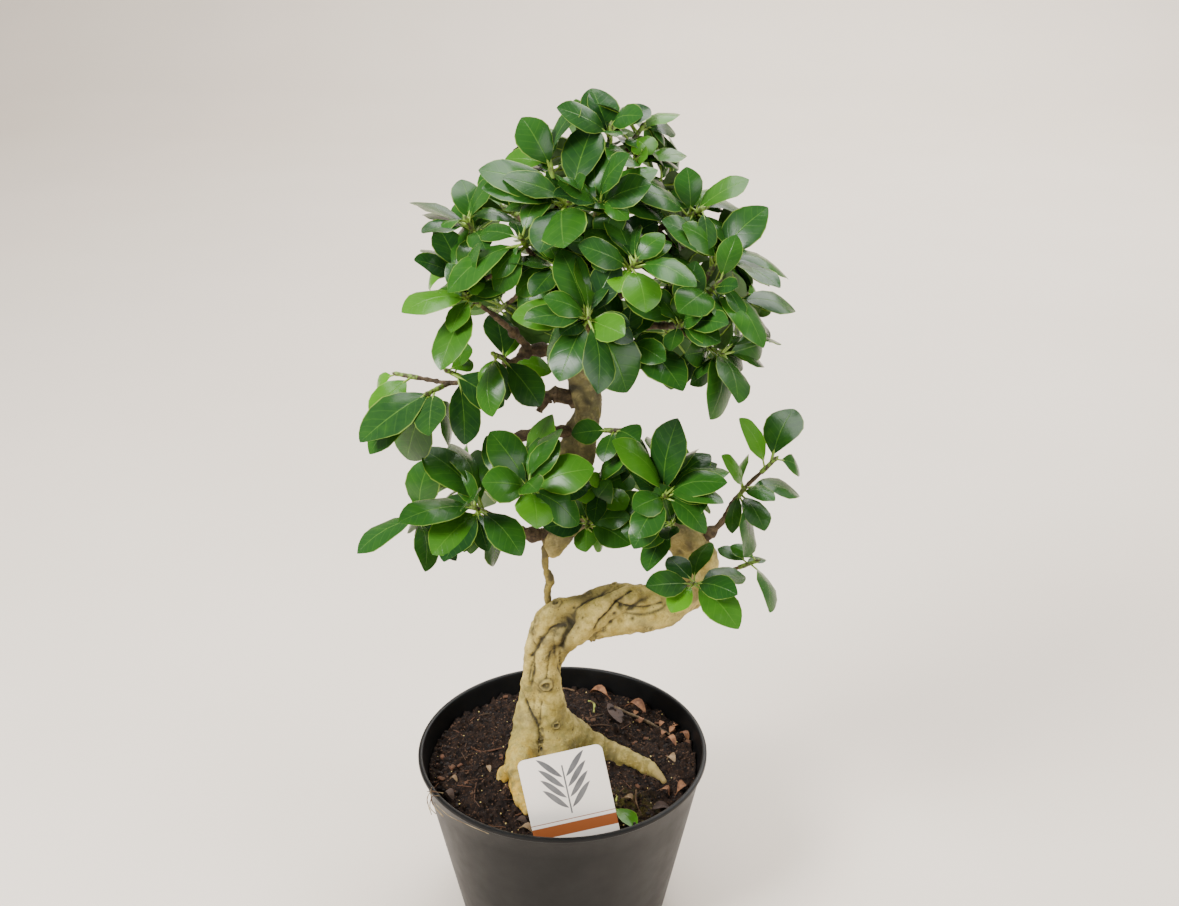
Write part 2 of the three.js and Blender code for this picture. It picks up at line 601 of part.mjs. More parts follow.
// The same leaf swung aside: number 0 is untouched, and each later one is swung further.
function posed(leaf, number) {
  if (!number) return leaf;
  const line = leaf.tip.clone().sub(leaf.base);
  const length = line.length();
  const way = line.normalize();
  const side = way.clone().cross(leaf.normal).normalize();
  const swing = POSE_STEP * Math.sqrt(number);
  const turn = number * GOLDEN_ANGLE;
  way.addScaledVector(leaf.normal, swing * Math.cos(turn));
  way.addScaledVector(side, swing * Math.sin(turn)).normalize();
  const normal = leaf.normal.clone().addScaledVector(way, -leaf.normal.dot(way)).normalize();
  const shrink = 1 - POSE_SHRINK * number;
  const tip = leaf.base.clone().addScaledVector(way, length * shrink);
  return { ...leaf, tip, normal, width: leaf.width * shrink };
}

// Where a point shows from the front, as [across, up].
function shown(point) {
  const reach = 1 - point.y / EYE.y;
  return [EYE.x + (point.x - EYE.x) / reach, EYE.z + (point.z - EYE.z) / reach];
}

function inside([across, up], outline) {
  let within = false;
  outline.forEach(([x, z], i) => {
    const [u, w] = outline[(i + 1) % outline.length];
    const crosses = z > up !== w > up && across < x + ((u - x) * (up - z)) / (w - z);
    if (crosses) within = !within;
  });
  return within;
}

const inCrown = (leaf) =>
  leafRings(leaf)
    .slice(2)
    .flat()
    .map(shown)
    .every((spot) => inside(spot, UPPER_CROWN) || inside(spot, LOWER_CROWN));

// The green shoot that carries on from a twig's end and closes in a bud.
function shootOf(end, way, stem) {
  const across = Math.abs(way.z) > 0.9 ? new THREE.Vector3(0, 1, 0) : UP;
  const side = way.clone().cross(across).normalize();
  const top = side.clone().cross(way);
  const ring = (along, radius) => {
    const points = [];
    for (let j = 0; j < TWIG_SIDES; j++) {
      const angle = (j / TWIG_SIDES) * 2 * Math.PI;
      const point = end.clone().addScaledVector(way, along);
      point.addScaledVector(side, radius * Math.cos(angle));
      point.addScaledVector(top, -radius * Math.sin(angle));
      points.push(point);
    }
    return points;
  };
  const bud = end.clone().addScaledVector(way, SHOOT_GAP + stem);
  return loft([
    ring(SHOOT_GAP, SHOOT_RADIUS),
    ring(SHOOT_GAP + SHOOT_SHOULDER * stem, SHOOT_TAPER * SHOOT_RADIUS),
    [bud],
  ]);
}

function repeatable(seed) {
  let state = seed;
  return () => {
    state = (Math.imul(state, 1664525) + 1013904223) >>> 0;
    return state / 2 ** 32;
  };
}

function boxesMeet(a, b) {
  return [0, 1, 2].every((i) => a.min[i] < b.max[i] && b.min[i] < a.max[i]);
}

const meets = (a, b) =>
  boxesMeet(a.boundingBox(), b.boundingBox()) && !a.intersect(b).isEmpty();

// The outer radius of the pot's wall, which the lip oversteps.
const wallAt = (z) => BASE_RADIUS + ((RIM_RADIUS - LIP_STEP - BASE_RADIUS) * z) / POT_HEIGHT;

function potSolid() {
  const shoulder = POT_HEIGHT - LIP_DEPTH;
  const profile = [
    [0, 0],
    [wallAt(0), 0],
    [wallAt(shoulder), shoulder],
    [RIM_RADIUS, shoulder + LIP_SLOPE],
    [RIM_RADIUS, POT_HEIGHT],
    [RIM_RADIUS - LIP_WIDTH, POT_HEIGHT],
    [wallAt(shoulder) - POT_WALL, shoulder - LIP_SLOPE],
    [wallAt(POT_FLOOR) - POT_WALL, POT_FLOOR],
    [0, POT_FLOOR],
  ].map(([radius, z]) => new THREE.Vector2(radius, z));
  let made = solid(new THREE.LatheGeometry(profile, POT_SIDES).rotateX(Math.PI / 2));
  for (let i = 0; i < DRAIN_COUNT; i++) {
    const angle = ((i + 0.5) / DRAIN_COUNT) * 2 * Math.PI;
    const hole = new THREE.CylinderGeometry(DRAIN_RADIUS, DRAIN_RADIUS, 4 * POT_FLOOR, DRAIN_SIDES);
    hole.rotateX(Math.PI / 2);
    hole.translate(DRAIN_CIRCLE * Math.cos(angle), DRAIN_CIRCLE * Math.sin(angle), 0);
    made = made.subtract(solid(hole));
  }
  return made;
}

// The height of the peat: humps all over it and a low mound round the trunk.
function soilHeight(radius, angle) {
  const humps = 1.6 * Math.sin(3 * angle + 1) * Math.sin(radius / HUMP_SPACING) + Math.sin(5 * angle);
  const mound = MOUND_HEIGHT * Math.exp(-((radius / MOUND_RADIUS) ** 2));
  return SOIL_LEVEL - 1 + HUMP_HEIGHT * humps * Math.min(1, radius / HUMP_START) + mound;
}

function soilBlock() {
  const fit = POT_WALL + SOIL_GAP + FACET_SLACK;
  const edge = wallAt(SOIL_LEVEL - EDGE_DEPTH) - fit;
  const ring = (radius, heightOf) =>
    Array.from({ length: SOIL_SIDES }, (unused, j) => {
      const angle = (j / SOIL_SIDES) * 2 * Math.PI;
      return new THREE.Vector3(
        radius * Math.cos(angle),
        radius * Math.sin(angle),
        heightOf(radius, angle),
      );
    });
  const low = POT_FLOOR + SOIL_GAP;
  const rings = [ring(wallAt(low) - fit, () => low), ring(edge, soilHeight)];
  for (let i = SOIL_RINGS - 1; i > 0; i--) rings.push(ring((edge * i) / SOIL_RINGS, soilHeight));
  rings.push([new THREE.Vector3(0, 0, soilHeight(0, 0))]);
  return loft(rings);
}

function labelSolid(grow = 0) {
  const half = LABEL_WIDTH / 2 + grow;
  const shape = new THREE.Shape();
  const top = LABEL_HEIGHT + grow;
  const round = LABEL_CORNER;
  shape.moveTo(-half, -grow);
  shape.lineTo(half, -grow);
  shape.lineTo(half, top - round);
  shape.absarc(half - round, top - round, round, 0, Math.PI / 2);
  shape.lineTo(round - half, top);
  shape.absarc(round - half, top - round, round, Math.PI / 2, Math.PI);
  const depth = LABEL_THICKNESS + 2 * grow;
  const card = new THREE.ExtrudeGeometry(shape, {
    depth,
    bevelEnabled: false,
    curveSegments: LABEL_CORNER_STEPS,
  });
  const up = LABEL_UP.clone().normalize();
  const across = LABEL_ACROSS.clone().addScaledVector(up, -LABEL_ACROSS.dot(up)).normalize();
  card.translate(LABEL_WIDTH / 2, 0, -depth / 2);
  card.applyMatrix4(new THREE.Matrix4().makeBasis(across, up, across.clone().cross(up)));
  card.translate(...LABEL_FOOT);
  return solid(card);
}

function soilSolid(rootsGrown) {
  return soilBlock().subtract(rootsGrown).subtract(labelSolid(HOLE_GAP));
}

const trunkTube = tube(TRUNK, TRUNK_SIDES, TRUNK_STEPS, { lobes: TRUNK_LOBES });
const limbTubes = Object.values(LIMBS).map((rows) => limb(rows));
const sprays = { ...FRONT_SPRAYS, ...REAR_SPRAYS };
const twigs = {};
for (const [name, { path }] of Object.entries(sprays)) twigs[name] = twigOf(path);
const twigTubes = Object.values(twigs).map(({ rows }) => tube(rows, TWIG_SIDES, TWIG_STEPS));

const rootsGrown = wasm.Manifold.union([
  tube(TRUNK, TRUNK_SIDES, TRUNK_STEPS, { lobes: TRUNK_LOBES, grow: HOLE_GAP }),
  ...Object.entries(LIMBS)
    .filter(([name]) => name.startsWith("root"))
    .map(([, rows]) => limb(rows, { grow: HOLE_GAP })),
]);

const obstacles = [trunkTube, ...limbTubes, ...twigTubes, labelSolid()].map((made) => ({
  owner: "fixed",
  made,
}));

// Sets a leaf in the first allowed pose that clears everything placed before it.
function fitLeaf(owner, leaf, allowed) {
  for (let number = 0; number < POSES; number++) {
    const pose = posed(leaf, number);
    if (!allowed(pose)) continue;
    const wide = loft(leafRings(pose, CLEARANCE));
    const outer = loft(leafRings(pose, CLEARANCE / 2).slice(2));
    const clear = obstacles.every((other) =>
      other.owner === owner
        ? !other.outer || !meets(outer, other.outer)
        : !meets(wide, other.made),
    );
    if (clear) {
      const made = loft(leafRings(pose));
      obstacles.push({ owner, made, outer: loft(leafRings(pose).slice(2)) });
      return made;
    }
  }
  return null;
}

const shoots = {};
for (const [name, { stem = SHOOT_LENGTH }] of Object.entries(sprays)) {
  const { end, way } = twigs[name];
  shoots[name] = [shootOf(end, way, stem)];
  obstacles.push({ owner: name, made: shoots[name][0] });
}

// Leaf bases run up the shoot from `low` to `high`, as shares of its length.
function baseOf(name, index, count, [low, high]) {
  const { end, way } = twigs[name];
  const { stem = SHOOT_LENGTH } = sprays[name];
  const share = low + ((high - low) * index) / Math.max(1, count - 1);
  return end.clone().addScaledVector(way, SHOOT_GAP + stem * share);
}

function growLeaf(name, leaf, allowed = () => true) {
  const fitted = fitLeaf(name, leaf, allowed);
  if (fitted) shoots[name].push(fitted);
}

for (const [name, { leaves = [] }] of Object.entries(sprays))
  leaves.forEach((row, i) =>
    growLeaf(name, seenLeaf(baseOf(name, i, leaves.length, SEEN_SPAN), row)),
  );

const random = repeatable(SEED);
for (const [name, { fill = 0 }] of Object.entries(sprays))
  for (let i = 0; i < fill; i++) {
    const base = baseOf(name, i, fill, RULED_SPAN);
    growLeaf(name, ruledLeaf(base, twigs[name].way, i, fill, random), inCrown);
  }

const bonsai = new THREE.Group();
bonsai.add(meshOf("pot", potSolid(), "pot"));
bonsai.add(meshOf("soil", soilSolid(rootsGrown), "soil"));
bonsai.add(
  meshOf("trunk", wasm.Manifold.union([trunkTube, ...limbTubes, ...twigTubes]), "wood"),
);
bonsai.add(meshOf("plant_label", labelSolid(), "label"));
for (const name of Object.keys(sprays))
  bonsai.add(meshOf("spray_" + name, wasm.Manifold.union(shoots[name]), "leaf"));
for (const [name, { base, tip, width, arch, tone }] of Object.entries(FALLEN)) {
  const leaf = { base: vector(base), tip: vector(tip), normal: UP, width, arch };
  bonsai.add(meshOf(name, loft(leafRings(leaf)), tone));
}
bonsai.add(meshOf("dry_twig", limb(DRY_TWIG), "dry"));

export default bonsai;
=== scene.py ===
"""A ginseng fig grown as an S-shaped bonsai in its nursery pot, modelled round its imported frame.

Laid out as a Blender add-on and run as a script. Every piece is in metres, +Z up, the front
towards -Y, with the origin at the centre of the pot's underside.
"""

import math
import random

import bmesh
import bpy
import numpy as np
from bpy.props import FloatProperty, FloatVectorProperty, IntProperty, PointerProperty
from bpy.types import Operator, Panel, PropertyGroup
from mathutils import Matrix, Vector
from mathutils.bvhtree import BVHTree
from mathutils.kdtree import KDTree
from mathutils.noise import fractal, noise


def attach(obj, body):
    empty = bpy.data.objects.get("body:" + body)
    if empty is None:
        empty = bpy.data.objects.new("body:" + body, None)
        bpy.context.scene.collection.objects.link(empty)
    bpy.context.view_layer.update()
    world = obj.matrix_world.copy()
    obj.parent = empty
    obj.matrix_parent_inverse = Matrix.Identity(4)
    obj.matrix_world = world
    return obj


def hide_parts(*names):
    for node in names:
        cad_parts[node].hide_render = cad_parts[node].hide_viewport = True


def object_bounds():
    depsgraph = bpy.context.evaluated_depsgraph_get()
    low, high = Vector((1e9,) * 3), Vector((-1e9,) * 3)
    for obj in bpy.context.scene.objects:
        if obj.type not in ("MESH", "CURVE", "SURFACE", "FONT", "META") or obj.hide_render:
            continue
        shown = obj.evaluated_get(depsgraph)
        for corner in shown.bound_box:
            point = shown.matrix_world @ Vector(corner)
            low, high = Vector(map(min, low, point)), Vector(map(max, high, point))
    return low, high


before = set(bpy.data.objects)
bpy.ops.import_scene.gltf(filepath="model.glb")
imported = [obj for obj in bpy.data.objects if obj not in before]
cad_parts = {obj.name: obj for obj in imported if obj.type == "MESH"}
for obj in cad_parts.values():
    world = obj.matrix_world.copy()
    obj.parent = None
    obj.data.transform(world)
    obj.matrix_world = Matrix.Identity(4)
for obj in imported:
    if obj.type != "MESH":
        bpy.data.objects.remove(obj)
FRAME_LOW, FRAME_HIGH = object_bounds()

bl_info = {
    "name": "Potted Bonsai Tree",
    "version": (1, 0, 0),
    "blender": (4, 5, 0),
    "location": "3D View > Sidebar > Bonsai",
    "description": "Bark, leaves, peat, pot and label for a potted ginseng fig",
    "category": "Object",
}

MM = 0.001
UP = Vector((0, 0, 1))
DOWN = Vector((0, 0, -1))
SEED = 20417

# Branches and leaves are laid out as they show from the front, in millimetres. A row
# [across, up, depth] is the point at that depth (y) on the sight line from EYE through
# [across, up] on the plane y = 0.
EYE = Vector((20.5, -884, 784))

# The trunk's centre line from the root crown up to the fork, with its radius last
TRUNK = [
    (-10, 102, 0, 24),
    (-12, 128, 0, 23.5),
    (-14, 155, 0, 20.5),
    (-14, 178, 0, 18),
    (-14, 195, 0, 15.8),
    (-13.5, 212, -2, 14),
    (-10, 230, -4, 15.5),
    (-1, 245, -6, 20),
    (18, 252, -8, 18.5),
    (40, 261, -6, 18),
    (62, 261, -2, 17.2),
    (79, 265, 2, 16.5),
    (92, 276, 6, 16.5),
    (97, 297, 8, 15),
    (88, 318, 10, 14.2),
    (67, 334, 12, 14),
    (42, 340, 12, 14),
    (18, 337, 9, 14),
    (1, 335, 4, 13.5),
    (-5, 348, 0, 13),
    (1, 366, -2, 13),
    (11, 382, -2, 13),
    (16, 398, 0, 12.3),
    (19.5, 415, 0, 10.8),
    (17, 433, 0, 10.5),
]

# The strands that the trunk is grown together from. A row is (place along the trunk's rows,
# angle round its middle in degrees, distance from the middle and radius as shares of the
# trunk's radius). At 90 degrees a strand runs along the front, and at 0 on the inner side.
STRANDS = {
    "core": [(0, 0, 0, 0.8), (4.8, 0, 0, 0.76), (5.6, 200, 0.25, 0.6), (7.2, 200, 0.25, 0.62),
        (8.4, 0, 0, 0.76), (24, 0, 0, 0.84)],
    "left": [(0, 180, 0.42, 0.6), (2, 178, 0.46, 0.58), (4, 172, 0.46, 0.6), (5, 168, 0.44, 0.64),
        (6, 165, 0.46, 0.62), (7, 168, 0.48, 0.56), (8, 186, 0.48, 0.54), (9, 220, 0.46, 0.56),
        (10, 258, 0.46, 0.58), (12, 330, 0.46, 0.6), (14, 400, 0.46, 0.6), (24, 700, 0.46, 0.6)],
    "right": [(0, 20, 0.36, 0.7), (2, 38, 0.38, 0.68), (3, 48, 0.4, 0.68), (4, 55, 0.42, 0.68),
        (5, 72, 0.42, 0.66), (6, 104, 0.42, 0.58), (6.7, 112, 0.34, 0.5), (7.4, 118, 0.12, 0.36)],
    "middle": [(3.2, -70, 0.2, 0.5), (4.2, -40, 0.32, 0.55), (5.2, -12, 0.42, 0.58),
        (6, 14, 0.5, 0.56), (7, 52, 0.5, 0.54), (7.6, 84, 0.5, 0.56), (8.2, 112, 0.5, 0.56),
        (9, 150, 0.48, 0.54), (10, 188, 0.46, 0.54), (12, 262, 0.46, 0.6), (14, 320, 0.46, 0.6),
        (24, 620, 0.46, 0.6)],
    "under": [(7, -50, 0.3, 0.4), (7.8, -14, 0.44, 0.5), (8.6, 18, 0.46, 0.6), (9.4, 42, 0.44, 0.64),
        (10.4, 66, 0.42, 0.64), (12, 130, 0.46, 0.6), (14, 200, 0.46, 0.6), (24, 500, 0.46, 0.6)],
    "short": [(8.9, 118, 0.2, 0.36), (9.6, 132, 0.44, 0.46), (10.4, 140, 0.5, 0.46),
        (11.2, 150, 0.46, 0.42), (12.2, 175, 0.28, 0.36)],
}

# Between two strands the bark is creased this wide and deep
CREASE_WIDTH = 1.05
CREASE_DEPTH = 0.9

# Marks on the bark where they show: across, up, radius, and the height of the ring or boss. The
# height is below zero for a pit. Above the least radius a mark is a ring.
RING_LEAST_RADIUS = 2.9
SCARS = [
    (-12, 194, 5, 1.9), (-10, 218, 3.2, 1.1), (-4, 265, 3.8, 1.9), (-5, 158, 3, 2.0),
    (-19, 250, 3.4, 0.9), (44, 262, 3, -1.4), (39, 256, 2, -1.2), (15, 253, 1.3, -1.1),
    (36, 249, 1.9, -1.2), (22, 237, 3, 3.2), (64.9, 243.5, 2.4, 2.4), (-26, 184, 2.6, 0.7),
    (-16, 236, 1.6, -0.8), (57, 275, 2.4, 0.9), (38, 280, 2.8, 2.0), (18, 410, 3, 0.8),
    (30, 243, 2.2, 1.8), (14, 229, 2.2, 1.6), (20, 272, 2, 1.5), (-24, 262, 3.2, 1.6),
    (-21, 240, 2, 1.2), (9, 262, 1.6, -0.9), (12, 244, 1.4, -0.8), (52, 252, 1.8, -0.9),
]

# Cracks in the bark where they show, as runs of [across, up], with their depths and widths
CRACKS = [
    ([(-21.4, 216), (-23.8, 207), (-24.7, 199), (-23.3, 193), (-21.7, 203), (-20.8, 213)], 1.0, 0.9),
    ([(-22.9, 219), (-16, 232), (-8.5, 242), (0.3, 247.3)], 1.6, 1.1),
    ([(-8, 220.6), (-9.6, 214.5), (-10.4, 206), (-12, 199)], 1.1, 0.9),
    ([(-31.6, 192.5), (-26.6, 176), (-20.8, 163), (-17.2, 152), (-16.7, 135)], 1.9, 1.0),
    ([(-16, 179), (-17, 163), (-17.9, 153.6)], 0.9, 0.8),
    ([(4.7, 250), (2.4, 243), (0, 236), (-0.5, 230), (-2, 222)], 5.0, 3.0),
    ([(-2, 224), (-1, 214), (1, 207)], 1.0, 1.0),
    ([(5, 247), (8, 255), (11.4, 261.7), (18.7, 267.6), (35.4, 275.9), (42.6, 279)], 1.7, 1.1),
    ([(24.5, 242), (28.2, 250.7), (35.5, 259), (40.5, 267.6), (46.3, 272.6), (51.3, 276.7)], 1.8, 1.0),
    ([(40.5, 267.6), (44.2, 263.4), (50, 261.7), (61, 261.7), (73.3, 265.9)], 1.7, 1.1),
    ([(-18, 262), (-21, 254), (-22.5, 244), (-22.4, 234), (-20, 226)], 1.2, 0.9),
]

# Round pieces of wood: a centre line laid out like the trunk's, radius last, followed in steps
RUN_STEP = 2.0
LIMBS = {
    "leader": [[17, 428, 0, 9], [14, 448, 2, 8.6], [15, 475, 5, 7.4], [19, 505, 5, 6.2],
        [24, 535, 3, 5], [29, 562, 0, 4], [33, 590, 0, 2.6]],
    "root_front_left": [[-20, 165, -4, 12], [-29, 141, -16, 11.5], [-34, 120, -34, 9.5],
        [-33, 98, -50, 7.5], [-29, 77, -64, 3.6]],
    "root_knob": [[-31, 124, -24, 6.5], [-43, 113, -20, 6.2], [-48, 107, -22, 3]],
    "root_right": [[0, 152, 0, 14], [20, 139, 4, 11], [38, 132, 5, 8.2], [55, 125, -3, 6.2],
        [69, 116, -14, 4.0], [79, 105, -25, 1.6]],
    "root_back_left": [[-16, 150, 10, 13], [-28, 137, 32, 9.5], [-42, 126, 52, 5]],
    "root_back_right": [[2, 150, 10, 13], [15, 134, 34, 9], [24, 122, 54, 4.5]],
    "root_front": [[-8, 145, -8, 14], [-3, 112, -30, 10.5], [4, 80, -50, 5]],
    "aerial_root": [[-8, 322, 1, 4.6], [-11, 306, 0, 2.9], [-11, 294, 0, 2.4], [-8, 284, 0, 3.4],
        [-10, 275, -1, 2.4], [-9, 254, -2, 2.9]],
    "knob_under_bend": [[4, 332, 4, 9], [-3, 317, 1, 9.5], [-6, 308, 0, 5]],
    "stub_upper": [[14, 424, 0, 6.5], [0, 428, -3, 5.2], [-8, 427, -5, 4.6], [-14, 416, -7, 3.2]],
    "stub_lower": [[10, 400, 0, 6], [-6, 402, -5, 4.4], [-18, 399, -8, 5], [-34, 397, -12, 2.2]],
    "branch_left": [[15, 444, 2, 6.5], [-5, 459, -4, 4.4], [-20, 460, -8, 3.9], [-30, 453, -16, 3.1],
        [-39, 449, -24, 2.6]],
    "branch_left_upper": [[-19, 460, -8, 3.6], [-30, 473, -20, 3], [-42, 484, -32, 2.7]],
    "branch_left_twig": [[-39, 449, -24, 2.4], [-54, 440, -22, 2.4], [-70, 437, -21, 2.3],
        [-84, 438, -19, 2.1]],
    "branch_upper_left": [[14, 468, 5, 5.4], [2, 498, -4, 4.4], [-10, 522, -14, 3.6],
        [-6, 545, -22, 3]],
    "branch_far_left": [[0, 500, -5, 3.8], [-22, 508, -8, 3.2], [-40, 520, -10, 2.6]],
    "branch_right": [[15, 472, 5, 5.6], [38, 482, -4, 4.4], [60, 478, -18, 3.6], [78, 478, -32, 3]],
    "branch_upper_right": [[24, 532, 3, 4], [48, 540, 0, 3.2], [68, 545, -6, 2.7]],
    "branch_far_right": [[96, 305, 8, 7], [103, 319, 6, 4.2], [114, 331, 3, 3], [121, 347, 0, 2.7]],
    "branch_lower_left": [[6, 328, 4, 7], [-16, 321, 0, 5], [-32, 327, -12, 3.6],
        [-46, 336, -26, 2.8]],
    "branch_back": [[15, 455, 4, 6], [10, 462, 30, 4.6], [-2, 480, 55, 3.2]],
    "branch_back_right": [[18, 480, 5, 5.4], [42, 500, 28, 4], [68, 510, 50, 3]],
}

# Little knobs on the thin wood: limb, share of its length, radius
KNOBS = [
    ("aerial_root", 0.3, 2.8), ("aerial_root", 0.56, 3.2), ("aerial_root", 0.64, 3.0),
    ("stub_upper", 0.45, 6.4), ("stub_upper", 0.7, 5.6), ("stub_lower", 0.4, 5.2),
    ("stub_lower", 0.62, 6.2), ("stub_lower", 0.82, 4.4), ("branch_left", 0.35, 5.4),
    ("branch_left", 0.55, 5.2), ("branch_left_upper", 0.5, 4.2), ("branch_far_right", 0.45, 5.0),
    ("branch_lower_left", 0.4, 6.4), ("root_knob", 0.55, 7.2), ("root_knob", 0.85, 4.6),
]

